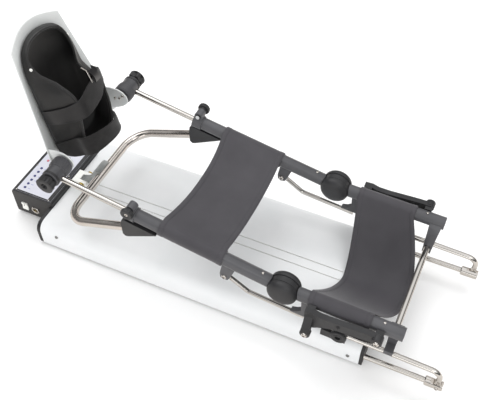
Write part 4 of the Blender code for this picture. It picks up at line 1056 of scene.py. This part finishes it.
@dataclass
class CalfFrame:
    """Calf tubes with their collars and clamp knobs, the U tube and the bracket to the carriage."""

    pin_place: Pair = (43.0, 12.3)
    knob_place: Pair = (300.0, 19.5)
    lug: Pair = (429.0, 127.0)
    lug_y: Pair = (137.6, 124.4)
    u_front: Pair = (85.0, 107.0)
    u_slope: float = 0.371
    u_half: float = 131.7
    u_end_x: float = 255.0
    u_corner: float = 48.0
    u_radius: float = 8.5

    def build(self) -> list[Thing]:
        """Both sides, the U tube and the bracket.

        Returns:
            The pieces.
        """
        pieces = [self._u_tube(), softened("carriage_bracket", ZINC, 0.6),
                  softened("pivot_bolt", YELLOW_ZINC, 0.3)]
        for side in Side:
            end, sign = side.suffix, side.value
            pieces += [softened("calf_tube" + end, TUBE_ENAMEL, 0.6),
                       softened("wedge_bracket" + end, BLACK_NYLON, 1.0),
                       softened("link_rod" + end, CHROME, 0.25), self._knob(side)]
            top = CALF.at(*self.pin_place, sign * TUBE_Y)
            pieces.append(screw_head("calf_pin" + end, top, UP, 2.6, "calf"))
            x, z = self.lug
            for face, y, way in (("outer", self.lug_y[0], sign), ("inner", self.lug_y[1], -sign)):
                seat = (x, sign * y, z)
                pieces.append(screw_head(f"link_pin_{face}{end}", seat, (0, way, 0), 5.0, "calf"))
            pieces += self._stem_ends(side)
        return pieces

    def _u_tube(self) -> Thing:
        """U tube: two arms and a cross bar in one tilted plane, joined by wide bends.

        Returns:
            The tube.
        """
        x, z = self.u_front
        end_z = z + self.u_slope * (self.u_end_x - x)
        path = bent([(self.u_end_x, -self.u_half, end_z), (x, -self.u_half, z), (x, self.u_half, z),
                     (self.u_end_x, self.u_half, end_z)], self.u_corner, 18)
        piece = pipe("bent_u_tube", path, self.u_radius, (-self.u_slope, 0.0, 1.0), STAINLESS, 40)
        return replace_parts(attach(piece, "calf"), "u_tube")

    def _knob(self, side: Side) -> Thing:
        """Clamp knob of the calf: washer, turned stem, fluted grip with a crowned face and a sunk recess.

        Args:
            side: side of the machine.

        Returns:
            The knob.
        """
        start = CALF.at(*self.knob_place, side.value * (TUBE_Y - 9.1))
        profile = [(0.05, 0.0), (4.6, 0.0), (5.5, 0.5), (5.5, 1.8), (3.0, 1.8), (3.0, 18.6), (6.5, 18.6),
                   (6.8, 20.0), (7.5, 23.4), (11.2, 24.0), (12.0, 24.9), (12.0, 30.4), (11.6, 31.3),
                   (10.5, 31.9), (7.0, 32.0), (4.4, 31.8), (4.2, 29.0), (0.05, 28.9)]
        piece = turned("calf_grip" + side.suffix, profile, start, side.out, BLACK_NYLON, 96, lobes=16,
                       depth=0.8, lobed=(24.5, 31.4))
        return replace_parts(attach(piece, "calf_knob" + side.suffix), "calf_knob" + side.suffix)

    def _stem_ends(self, side: Side) -> list[Thing]:
        """Bright ends of the clamp screw: one in the grip's recess, one against the boss's inner side.

        Args:
            side: side of the machine.

        Returns:
            Both ends.
        """
        profile = [(3.9, 0.0), (3.9, 1.6), (3.3, 2.3), (1.6, 2.4), (1.5, 1.4), (0.05, 1.3)]
        pieces = []
        for face, y, way, finish in (("outer", 19.8, side.value, CHROME),
                                     ("inner", -9.2, -side.value, BRIGHT_ZINC)):
            seat = CALF.at(*self.knob_place, side.value * (TUBE_Y + y))
            piece = turned(f"calf_stem_{face}{side.suffix}", profile, seat, (0, way, 0), finish, 24)
            pieces.append(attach(piece, "calf_knob" + side.suffix))
        return pieces


@dataclass
class FootFrame:
    """Directions and forms of the foot assembly: u up the plate, w out of it, y across."""

    pivot: Pair = (92.1, 238.4)
    u_way: Pair = (-0.242, 0.970)
    w_way: Pair = (0.970, 0.242)
    half_low: float = 98.0
    taper: float = 0.16
    corner_u: float = 210.0
    top_u: float = 229.0
    bottom_u: float = -34.0
    rim_w: float = -30.0

    def point(self, u: Array, w: Array, y: Array) -> Array:
        """Points from arrays of u, w and y.

        Args:
            u: distance up the plate.
            w: distance out of it.
            y: place across.

        Returns:
            The points, in the arrays' common shape.
        """
        u, w, y = np.broadcast_arrays(*(np.asarray(value, float) for value in (u, w, y)))
        return np.stack([self.pivot[0] + u * self.u_way[0] + w * self.w_way[0], y,
                         self.pivot[1] + u * self.u_way[1] + w * self.w_way[1]], axis=-1)

    def half(self, u: Array) -> Array:
        """Half width of the plate at u."""
        return self.half_low - self.taper * (u - 23)

    def dish(self, u: Array, y: Array) -> Array:
        """Middle of the plate: w = rim - depth(u) * cos(y / half * 90 degrees) ** 1.2.

        Args:
            u: distance up the plate.
            y: place across.

        Returns:
            The plate's w.
        """
        depth = 36.0 - 27.0 * np.clip(u / self.top_u, 0, 1)
        reach = np.clip(np.abs(y) / self.half(u), 0, 1)
        return self.rim_w - depth * np.maximum(np.cos(reach * math.pi / 2), 0) ** 1.2


@dataclass
class FootRest:
    """Footplate with its ears, the rods and clamps that carry it, and their knobs."""

    frame: FootFrame
    thickness: float = 2.4
    ear_y: Pair = (93.4, 96.6)
    ear_screws: tuple[Pair, ...] = ((0.0, -11.0), (0.0, 0.0), (6.0, 9.5))
    ear_outline: tuple[Pair, ...] = (
        (-26, -34), (24, -34), (24, -16), (20, 2), (13, 12), (4, 17), (-6, 17), (-14, 11), (-20, 0),
        (-24, -14))

    def build(self) -> list[Thing]:
        """Plate, ears, screws, rods, clamps and knobs.

        Returns:
            The pieces.
        """
        pieces = self._plate()
        for side in Side:
            end, sign = side.suffix, side.value
            pieces += [softened("calf_rod" + end, CHROME, 0.3),
                       # The clamp's drum takes the nylon painted lighter, as painted light.
                       softened("foot_clamp" + end, PAINTED_LIT_NYLON, 0.6), *self._clamp_sleeve(side),
                       self._knob(side)]
            for number, (u, w) in enumerate(self.ear_screws, 1):
                seat = self.frame.point(u, w, sign * self.ear_y[0])
                pieces.append(screw_head(f"ear_screw_{number}{end}", seat, (0, -sign, 0), 3.3, "foot"))
        return pieces

    def _plate(self) -> list[Thing]:
        """Dished sheet with a crowned top edge, and an ear with a rounded nose on each side.

        Returns:
            The pieces.
        """
        frame = self.frame
        part = np.linspace(0, 1, 60)[:, None]
        share = np.linspace(-1, 1, 72)[None, :]
        crown = (frame.top_u - frame.corner_u) * (1 - share ** 2) * part ** 2
        base_u = frame.bottom_u + (frame.corner_u - frame.bottom_u) * part + 0 * share
        y = share * frame.half(base_u)
        grid = frame.point(base_u + crown, frame.dish(base_u, y), y)
        plate = rounded(cloth("formed_footplate", grid, self.thickness, PLATE_SHEET), 0.8, angle=50)
        pieces = [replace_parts(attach(plate, "foot"), "footplate")]
        u, w = np.array(self.ear_outline, float).T
        for side in Side:
            rings = np.stack([frame.point(u, w, side.value * y) for y in self.ear_y])
            ear = make_mesh("plate_ear" + side.suffix, *closed_grid(rings), PLATE_SHEET)
            ear = rounded(ear, 1.2, angle=30, segments=3)
            axle = turned("ear_axle" + side.suffix, [(5.0, 0.0), (5.0, 28.0)],
                          frame.point(0, 0, side.value * 94.0), side.out, TURNED_STEEL, 24)
            pieces += [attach(ear, "foot"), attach(axle, "foot")]
        return pieces

    def _clamp_sleeve(self, side: Side) -> list[Thing]:
        """Fluted band round the clamp's drum and a raised ring at its outer end.

        Args:
            side: side of the machine.

        Returns:
            The band and the ring.
        """
        seat = self.frame.point(0, 0, side.value * 100.5)
        drum = [(18.3, 3.0), (19.0, 3.4), (19.0, 17.6), (18.3, 18.0)]
        collar = [(16.2, 38.0), (17.0, 38.4), (17.0, 42.6), (16.2, 43.0)]
        # The fluted band takes the nylon painted lighter, as painted light on the drum.
        band = turned("drum_band" + side.suffix, drum, seat, side.out, PAINTED_LIT_NYLON, 120, lobes=30,
                      depth=0.5, lobed=(3.2, 17.8))
        ring = turned("clamp_ring" + side.suffix, collar, seat, side.out, BLACK_NYLON, 64)
        return [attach(band, "foot_rods"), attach(ring, "foot_rods")]

    def _knob(self, side: Side) -> Thing:
        """Star knob: six lobes on a cap, rounded rims and a sunk centre.

        Args:
            side: side of the machine.

        Returns:
            The knob.
        """
        profile = [(4.0, 0.0), (4.0, 8.0), (11.6, 8.1), (12.0, 8.6), (12.0, 9.4), (16.0, 9.5), (17.0, 10.1),
                   (17.4, 11.2), (17.4, 21.6), (16.8, 23.0), (15.2, 23.9), (11.5, 24.1), (8.0, 23.7),
                   (6.8, 23.6), (6.2, 22.8), (6.0, 19.1), (0.05, 19.0)]
        piece = turned("star_knob" + side.suffix, profile, self.frame.point(0, 0, side.value * 139.5),
                       side.out, BLACK_NYLON, 144, lobes=6, depth=4.6, lobed=(9.5, 22.0))
        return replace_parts(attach(piece, "foot_knob" + side.suffix), "foot_knob" + side.suffix)


@dataclass
class Shoe:
    """Padded shoe on the plate with its bound edge, eyelets, instep strap and ankle strap.

    The outline gives u and half width from toe to heel. The tapers give the share of that width at each of
    the heights, on the left and then on the right, and the toes how far u takes it back to the full width.
    The rims give w of the top edge at each u, again left and right.
    """

    frame: FootFrame
    wall: float = 5.5
    middle_u: float = 87.0
    outline: tuple[Pair, ...] = (
        (212, 0), (211, 14), (208, 27), (204, 37), (197, 48), (183, 57.5), (162, 65), (134, 69), (98, 70),
        (60, 70), (25, 69), (-4, 62), (-20, 50), (-28, 30), (-31, 0))
    heights: Row = (0.0, 0.16, 0.42, 0.70, 0.92, 1.0)
    tapers: tuple[Row, ...] = ((0.93, 1.0, 0.96, 0.87, 0.76, 0.72), (0.93, 1.0, 0.93, 0.80, 0.68, 0.62))
    toes: tuple[tuple[Row, ...], ...] = (
        ((142, 164, 186), (0.0, 0.60, 1.0)), ((120, 150, 176, 200), (0.0, 0.34, 0.53, 0.70)))
    rims: tuple[tuple[Row, ...], ...] = (
        ((-31, -12, 10, 25, 45, 67, 85, 100, 113, 122, 131, 142, 153, 168, 185, 206),
         (12, 15, 18, 22, 29, 36, 43, 46, 45, 39, 28, 13, 0, -10, -18, -24)),
        ((-31, -12, 10, 25, 45, 67, 82, 90, 95, 101, 109, 120, 148, 176, 190, 206),
         (12, 16, 20, 23, 26, 28, 30, 29, 20, 3, -9, -12, -12, -13, -14, -18)))
    blend: float = 25.0
    stand_off: float = 2.2
    binding_radius: float = 2.1
    binding_step: float = 2.2
    lining_y: float = -38.0
    eyelet: Pair = (173.0, -14.0)

    def low(self, u: Array, y: Array) -> Array:
        """Back of the shoe in the plate's hollow: half the sheet and 0.6 mm over its middle."""
        return self.frame.dish(u, y) + 1.2 + 0.6

    def rim_w(self, u: Array, y: Array) -> Array:
        """Height of the rim: left + (right - left) * smoothstep of y over the blend, eased between points.

        Args:
            u: distance up the plate.
            y: place across.

        Returns:
            The rim's w.
        """
        shifts = np.linspace(-4, 4, 7)
        left, right = (sum(np.interp(u + shift, *rim) for shift in shifts) / len(shifts) for rim in self.rims)
        part = np.clip((y + self.blend) / (2 * self.blend), 0, 1)
        return left + (right - left) * part * part * (3 - 2 * part)

    def taper(self, u: Array, y: Array, part: Array) -> Array:
        """Share of the full width at a share of the height; the toe stays wider.

        Args:
            u: distance up the plate.
            y: place across, of which the sign counts.
            part: share of the height.

        Returns:
            The share of the width.
        """
        shares = []
        for widths, toe in zip(self.tapers, self.toes):
            share = np.interp(part, self.heights, widths)
            shares.append(share + (1 - share) * np.interp(u, *toe))
        return np.where(np.asarray(y) < 0, *shares)

    def side_y(self, u: float, w: float, side: float) -> float:
        """Half width outside the wall of one side at a height u and w out of the plate.

        Args:
            u: distance up the plate.
            w: distance out of it.
            side: sign of the side.

        Returns:
            The half width.
        """
        half = np.interp(u, *np.array(sorted(self.outline), float).T)
        low = self.low(u, half)
        return float(half * self.taper(u, side, (w - low) / (self.rim_w(u, side * half) - low)))

    def closed_outline(self, count: int = 112) -> tuple[Array, Array]:
        """Outline of both sides as evenly spread points of a smooth closed curve.

        Args:
            count: number of points.

        Returns:
            Their u and their y.
        """
        right = np.array(self.outline, float)
        ring = np.concatenate([right, right[-2:0:-1] * (1, -1)])
        u, y = curve(ring, np.linspace(0, len(ring), count, endpoint=False)).T
        return u, y

    def surface(self, levels: Array) -> Array:
        """Rings of the shoe's skin.

        Each level gives (scale, part, inset, off): the outline drawn in about its middle by scale, its width
        tapered by the height's share part and lessened by inset, at w = low + off + (rim - low) * part.

        Args:
            levels: one row for each ring.

        Returns:
            One row of points for each ring.
        """
        u0, y0 = (line[None] for line in self.closed_outline())
        scale, part, inset, off = (levels[:, k][:, None] for k in range(4))
        u = self.middle_u + (u0 - self.middle_u) * scale
        taper = self.taper(u0 + 0 * part, y0 + 0 * part, part + 0 * u0) * np.minimum(scale * 1.08, 1.0)
        y = np.sign(y0) * np.maximum(np.abs(y0) * taper - inset, 0.0)
        low = self.low(u, y) + off
        return self.frame.point(u, low + (np.maximum(self.rim_w(u, y), low + 5) - low) * part, y)

    def levels(self) -> Array:
        """Levels from the middle of the back, up the outside, over the rolled rim and down the inside.

        Returns:
            One row of (scale, part, inset, off) for each ring.
        """
        wall = self.wall
        keys = np.array([
            (0.05, 0.0, 0.0, 0.0), (0.60, 0.0, 0.0, 0.0), (0.84, 0.0, 0.0, 0.0), (0.95, 0.02, 0.0, 0.3),
            (1.0, 0.16, 0.0, 0.6), (1.0, 0.42, 0.0, 0.6), (1.0, 0.70, 0.0, 0.6), (0.995, 0.90, 0.0, 0.6),
            (0.994, 0.955, -0.9, 0.6), (0.990, 0.985, -0.6, 0.6), (0.983, 1.0, wall * 0.3, 0.6),
            (0.968, 0.99, wall * 0.8, 0.6), (0.958, 0.95, wall * 1.1, 0.6), (0.955, 0.90, wall * 0.95, 0.6),
            (0.95, 0.70, wall, 2.0), (0.95, 0.42, wall, 3.0), (0.93, 0.20, wall, wall),
            (0.82, 0.02, wall, wall + 1), (0.50, 0.0, wall, wall), (0.05, 0.0, wall, wall)])
        t = np.linspace(0, len(keys) - 1, 76)
        return np.stack([np.interp(t, np.arange(len(keys)), column) for column in keys.T], axis=1)

    def build(self) -> list[Thing]:
        """Shoe, its details and both straps.

        Returns:
            The pieces.
        """
        shoe = make_mesh("padded_shoe", *closed_grid(self.surface(self.levels())), SHOE_CLOTH, sharp=80.0)
        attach(shoe, "foot")
        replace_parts(shoe, "boot")
        return [shoe] + self._binding() + self._eyelets() + self._straps() + self._ring()

    def _binding(self) -> list[Thing]:
        """Bound edge: a tube about the rim, its frame turned by the ring's own tangent.

        Returns:
            The binding, in a list.
        """
        ring = self.surface(np.array([(0.983, 1.0, self.wall * 0.3, 0.6)]))[0]
        tangent = unit(np.roll(ring, -1, axis=0) - np.roll(ring, 1, axis=0))
        side = unit(np.cross(tangent, (self.frame.w_way[0], 0.0, self.frame.w_way[1])))
        rows, columns = len(ring), 12
        tube = ring[:, None] + self.binding_radius * circle(side, np.cross(side, tangent), columns)
        points = tube.reshape(-1, 3)
        faces = (np.array(quads(rows + 1, columns, True)) % len(points)).tolist()
        angle = np.arange(columns) * 2 * math.pi / columns
        along = np.arange(rows) * self.binding_step
        run, over = np.meshgrid(along, angle * self.binding_radius, indexing="ij")
        uv = np.column_stack([run.ravel(), over.ravel()]) / 1000
        piece = make_mesh("shoe_binding", points, outwards(points, faces), BINDING, uv)
        return [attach(piece, "foot")]

    def _eyelets(self) -> list[Thing]:
        """White lace eyelet on each wall of the toe.

        Returns:
            Both eyelets.
        """
        u, w = self.eyelet
        profile = [(0.05, 0.5), (0.9, 0.5), (1.2, 0.9), (2.0, 1.3), (2.8, 0.9), (3.0, -0.2), (3.0, -0.6)]
        pieces = []
        for side in Side:
            seat = self.frame.point(u, w, side.value * (self.side_y(u, w, side.value) + 0.4))
            piece = turned("toe_eyelet" + side.suffix, profile, seat, (0.20, side.value, 0.12), ACETAL, 28)
            pieces.append(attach(piece, "foot"))
        return pieces

    def _straps(self) -> list[Thing]:
        """Instep and ankle straps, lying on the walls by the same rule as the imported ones.

        Returns:
            Both straps.
        """
        instep = [(-1, -28, 64, 92), (-1, -14, 64, 94), (-1, 0, 65, 96), (-1, 14, 66, 98), (-1, 28, 67, 100),
                  (-1, 38, 68, 103), (-47, 51, 70, 107), (-30, 53.5, 72, 113), (-12, 53.5, 74, 118),
                  (6, 51.5, 78, 120), (20, 48, 86, 120), (35, 41, 92, 118), (1, 29, 88, 110),
                  (1, 16, 83, 103), (1, 2, 79, 98), (1, -12, 77, 96)]
        ankle = [(-1, -40, -8, 14), (-1, -22, -14, 18), (-1, -4, -17, 22), (-1, 12, -15, 26),
                 (-61, 26, -12, 29), (-53, 37, -11, 29), (-36, 44.5, -11, 26), (-16, 48, -12, 22),
                 (4, 47, -14, 18), (21, 42.5, -15, 15), (35, 33, -16, 13), (1, 18, -17, 11),
                 (1, 2, -17, 10), (1, -14, -14, 10), (1, -30, -10, 10)]
        pieces = []
        for name, stations, thickness in (("instep", instep, 2.2), ("ankle", ankle, 2.4)):
            band = cloth(name + "_webbing", self._ribbon(stations), thickness, LOOP_WEBBING)
            piece = rounded(band, 0.8, angle=50)
            if name == "instep":
                self._lined(piece)
            pieces.append(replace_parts(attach(piece, "foot"), name + "_strap"))
        return pieces

    def _lined(self, strap: Thing) -> None:
        """Gives the strap's near leg its smooth lining: every face whose middle lies beyond lining_y.

        Args:
            strap: the instep strap.
        """
        strap.data.materials.append(LINING.material())
        middle = np.empty(len(strap.data.polygons) * 3, np.float32)
        strap.data.polygons.foreach_get("center", middle)
        near = middle.reshape(-1, 3)[:, 1] < self.lining_y / 1000
        strap.data.polygons.foreach_set("material_index", near.astype(np.int32))

    def _ring(self) -> list[Thing]:
        """Chrome loop at the strap's far end and the two layers of webbing folded through it.

        Returns:
            The loop and the webbing.
        """
        path = self.frame.point(*np.array([(149.0, 48.0, -10.0), (137.0, 50.0, -3.0), (116.0, 56.0, -6.0)]).T)
        normal = np.cross(path[1] - path[0], path[2] - path[1])
        loop = pipe("strap_loop", bent(path, 5.0, 10), 1.1, normal, CHROME, 16)
        y = np.linspace(2.0, 22.0, 18)[None, :]
        part = np.linspace(0, 1, 12)[:, None]
        u = 110.0 + 22.0 * part - 0.25 * (y - 2.0)
        w = 55.0 - 0.32 * (y - 2.0) + 2.5 * np.sin(math.pi * part) - 7.0 * part ** 2
        fold = cloth("folded_webbing", self.frame.point(u, w, y), 1.6, LINING)
        return [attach(loop, "foot"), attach(fold, "foot")]

    def _ribbon(self, stations: list[tuple[float, float, float, float]]) -> Array:
        """Middle surface of a strap: a smooth line through (y, w, lower u, upper u), wavy by 0.4 mm across.

        Args:
            stations: places along the strap; a y of 1 or -1 lays it on that wall of the shoe.

        Returns:
            Rows across the strap, columns along it.
        """
        fixed = []
        for y, w, low, high in stations:
            if abs(y) == 1:
                walls = [self.side_y(u, w + up, y) for u in np.linspace(low, high, 5) for up in (0, 8)]
                y *= max(walls) + self.stand_off
            fixed.append((y, w, low, high))
        points = np.array(fixed)
        padded = np.concatenate([[2 * points[0] - points[1]], points, [2 * points[-1] - points[-2]]])
        line = curve(padded, np.linspace(0, len(points) - 1.000001, 150) + 1)
        window = np.clip(np.arange(len(line))[:, None] + np.arange(-6, 7)[None, :], 0, len(line) - 1)
        y, w, low, high = line[window].mean(axis=1).T[:, None, :]
        part = np.linspace(0, 1, 22)[:, None]
        return self.frame.point(low + (high - low) * part, w + 0.4 * np.sin(part * 7 + y * 0.09), y)


@dataclass
class Studio:
    """Pale floor, soft lamps and the camera of the photograph."""

    azimuth: float = 24.11
    elevation: float = 49.80
    roll: float = 0.06
    place: Point = (0.4106, -0.7910, 1.2035)
    focal_px: float = 728.4
    centre_px: Pair = (258.6, 206.8)
    ambient: float = 1.0
    lamps: tuple[tuple[str, Point, Pair, float], ...] = (
        ("key", (-1.0, 0.4, 2.2), (1.2, 1.6), 10.0), ("fill", (1.5, -1.5, 1.7), (1.4, 0.9), 7.5),
        ("back", (0.3, 1.7, 1.9), (2.2, 0.9), 16.0), ("front", (0.2, -2.2, 0.5), (2.0, 0.7), 8.0))

    def build(self) -> None:
        """Camera, floor, world and lamps."""
        self._camera()
        self._floor()
        self._world()
        for lamp in self.lamps:
            self._lamp(*lamp)

    def _stand(self, thing: Thing, right: Array, up: Array, back: Array, place: Point) -> None:
        """Stands a camera or lamp at a place, with its own x, y and z along right, up and back.

        Args:
            thing: the camera or lamp.
            right: direction of its x.
            up: direction of its y.
            back: direction of its z.
            place: its place in world metres.
        """
        rows = np.eye(4)
        rows[:3] = np.column_stack([right, up, back, place])
        thing.matrix_world = Matrix(rows.tolist())
        bpy.context.scene.collection.objects.link(thing)

    def _camera(self) -> None:
        """Camera at the photograph's angle, its lens and shift from the 490 pixel wide frame."""
        azimuth, elevation, roll = (math.radians(v) for v in (self.azimuth, self.elevation, self.roll))
        back = np.array([math.sin(azimuth) * math.cos(elevation), -math.cos(azimuth) * math.cos(elevation),
                         math.sin(elevation)])
        right = np.array([math.cos(azimuth), math.sin(azimuth), 0.0])
        up = np.cross(back, right)
        lens = bpy.data.cameras.new("photo_camera")
        lens.sensor_fit = "HORIZONTAL"
        lens.sensor_width = 36.0
        lens.lens = self.focal_px / PHOTO_WIDTH * lens.sensor_width
        lens.shift_x = -(self.centre_px[0] - PHOTO_WIDTH / 2) / PHOTO_WIDTH
        lens.shift_y = (self.centre_px[1] - PHOTO_HEIGHT / 2) / PHOTO_WIDTH
        lens.clip_end = 50.0
        camera = bpy.data.objects.new("photo_camera", lens)
        self._stand(camera, math.cos(roll) * right + math.sin(roll) * up,
                    -math.sin(roll) * right + math.cos(roll) * up, back, self.place)
        bpy.context.scene.camera = camera

    def _floor(self) -> None:
        """Wide pale floor under the feet; mirrors see it as the dull grey of a room's far floor."""
        square = np.array([(-1, -1, 0), (1, -1, 0), (1, 1, 0), (-1, 1, 0)], float) * 9000 + (378, 0, -5.2)
        floor = make_mesh("studio_floor", square, [(0, 1, 2, 3)], COVER_ENAMEL)
        material = bpy.data.materials.new("matt_white_paper")
        material.use_nodes = True
        tree = material.node_tree
        paper = join(tree, tree.nodes["Principled BSDF"], Base_Color=linear("FDFDFD"), Roughness=0.9,
                     Specular_IOR_Level=0.1)
        dim = add(tree, "BsdfDiffuse", Color=linear("E6E2DE"))
        glossy = add(tree, "LightPath").outputs["Is Glossy Ray"]
        seen = add(tree, "MixShader", i0=glossy, i1=paper.outputs["BSDF"], i2=dim.outputs["BSDF"])
        join(tree, tree.nodes["Material Output"], Surface=seen.outputs["Shader"])
        floor.data.materials[0] = material

    def _world(self) -> None:
        """Soft white room: the camera sees it white, and mirrors see a bright top over a dim horizon."""
        world = bpy.data.worlds.new("soft_room")
        world.use_nodes = True
        tree = world.node_tree
        tree.nodes.clear()
        path = add(tree, "LightPath").outputs
        seen = maths(tree, "MAXIMUM", path["Is Camera Ray"], path["Is Transmission Ray"])
        rise = add(tree, "SeparateXYZ", Vector=add(tree, "NewGeometry").outputs["Incoming"]).outputs["Z"]
        bright = add(tree, "MapRange", Value=rise, From_Min=-0.80, From_Max=-0.35, To_Min=1.12, To_Max=0.14)
        mirrored = add(tree, "Mix", Factor=path["Is Glossy Ray"], i2=self.ambient,
                       i3=bright.outputs["Result"])
        room = add(tree, "Background", Color=(1, 1, 1, 1), Strength=mirrored.outputs[0])
        clear = add(tree, "Background", Color=(1, 1, 1, 1), Strength=1.0)
        mix = add(tree, "MixShader", i0=seen, i1=room.outputs[0], i2=clear.outputs[0])
        add(tree, "OutputWorld", Surface=mix.outputs[0])
        bpy.context.scene.world = world

    def _lamp(self, name: str, place: Point, size: Pair, power: float) -> None:
        """Rectangular soft box that faces the middle of the machine; mirrors don't see the one at the back.

        Args:
            name: name of the lamp.
            place: its middle in world metres.
            size: width and height in metres.
            power: watts.
        """
        lamp = bpy.data.lights.new(name, "AREA")
        lamp.shape = "RECTANGLE"
        lamp.size, lamp.size_y = size
        lamp.energy = power
        thing = bpy.data.objects.new(name, lamp)
        thing.visible_glossy = name != "back"
        back = unit(np.array(place) - (0.0, 0.0, 0.1))
        right = unit(np.cross((0.0, 0.0, 1.0), back))
        self._stand(thing, right, np.cross(back, right), back, place)


def main() -> None:
    """Builds the studio and every sub-assembly."""
    logging.basicConfig(level=logging.INFO, format="%(name)s: %(message)s")
    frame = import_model()
    bpy.context.scene.view_settings.view_transform = "Standard"
    Studio().build()
    foot = FootFrame()
    stretch = math.hypot(1, CALF.slope)
    thigh_sling = Sling("thigh_cloth", "thigh_sling", "thigh", THIGH, (48.5, 25.0, 100.0, 1.5),
                        (159.0, 41.0, 91.0, 2.2))
    calf_sling = Sling("calf_cloth", "calf_sling", "calf", CALF, (237.0 * stretch, -12.0, 8.0, 2.2),
                       (114.5 * stretch, -5.0, 7.0, 2.2))
    base = Base()
    built = {
        "base": base.build() + base.build_screw(),
        "controls": Controls().build(),
        "hip rods": HipRods().build(),
        "thigh frame": ThighFrame().build(),
        "thigh sling": thigh_sling.build(),
        "calf frame": CalfFrame().build(),
        "calf sling": calf_sling.build(),
        "carriage": [softened("carriage_block", ACETAL, 0.8)],
        "foot rest": FootRest(foot).build(),
        "shoe": Shoe(foot).build(),
    }
    for assembly, pieces in built.items():
        for piece in pieces:
            LOG.info("%s: %s", assembly, piece.name)


if __name__ == "__main__":
    main()
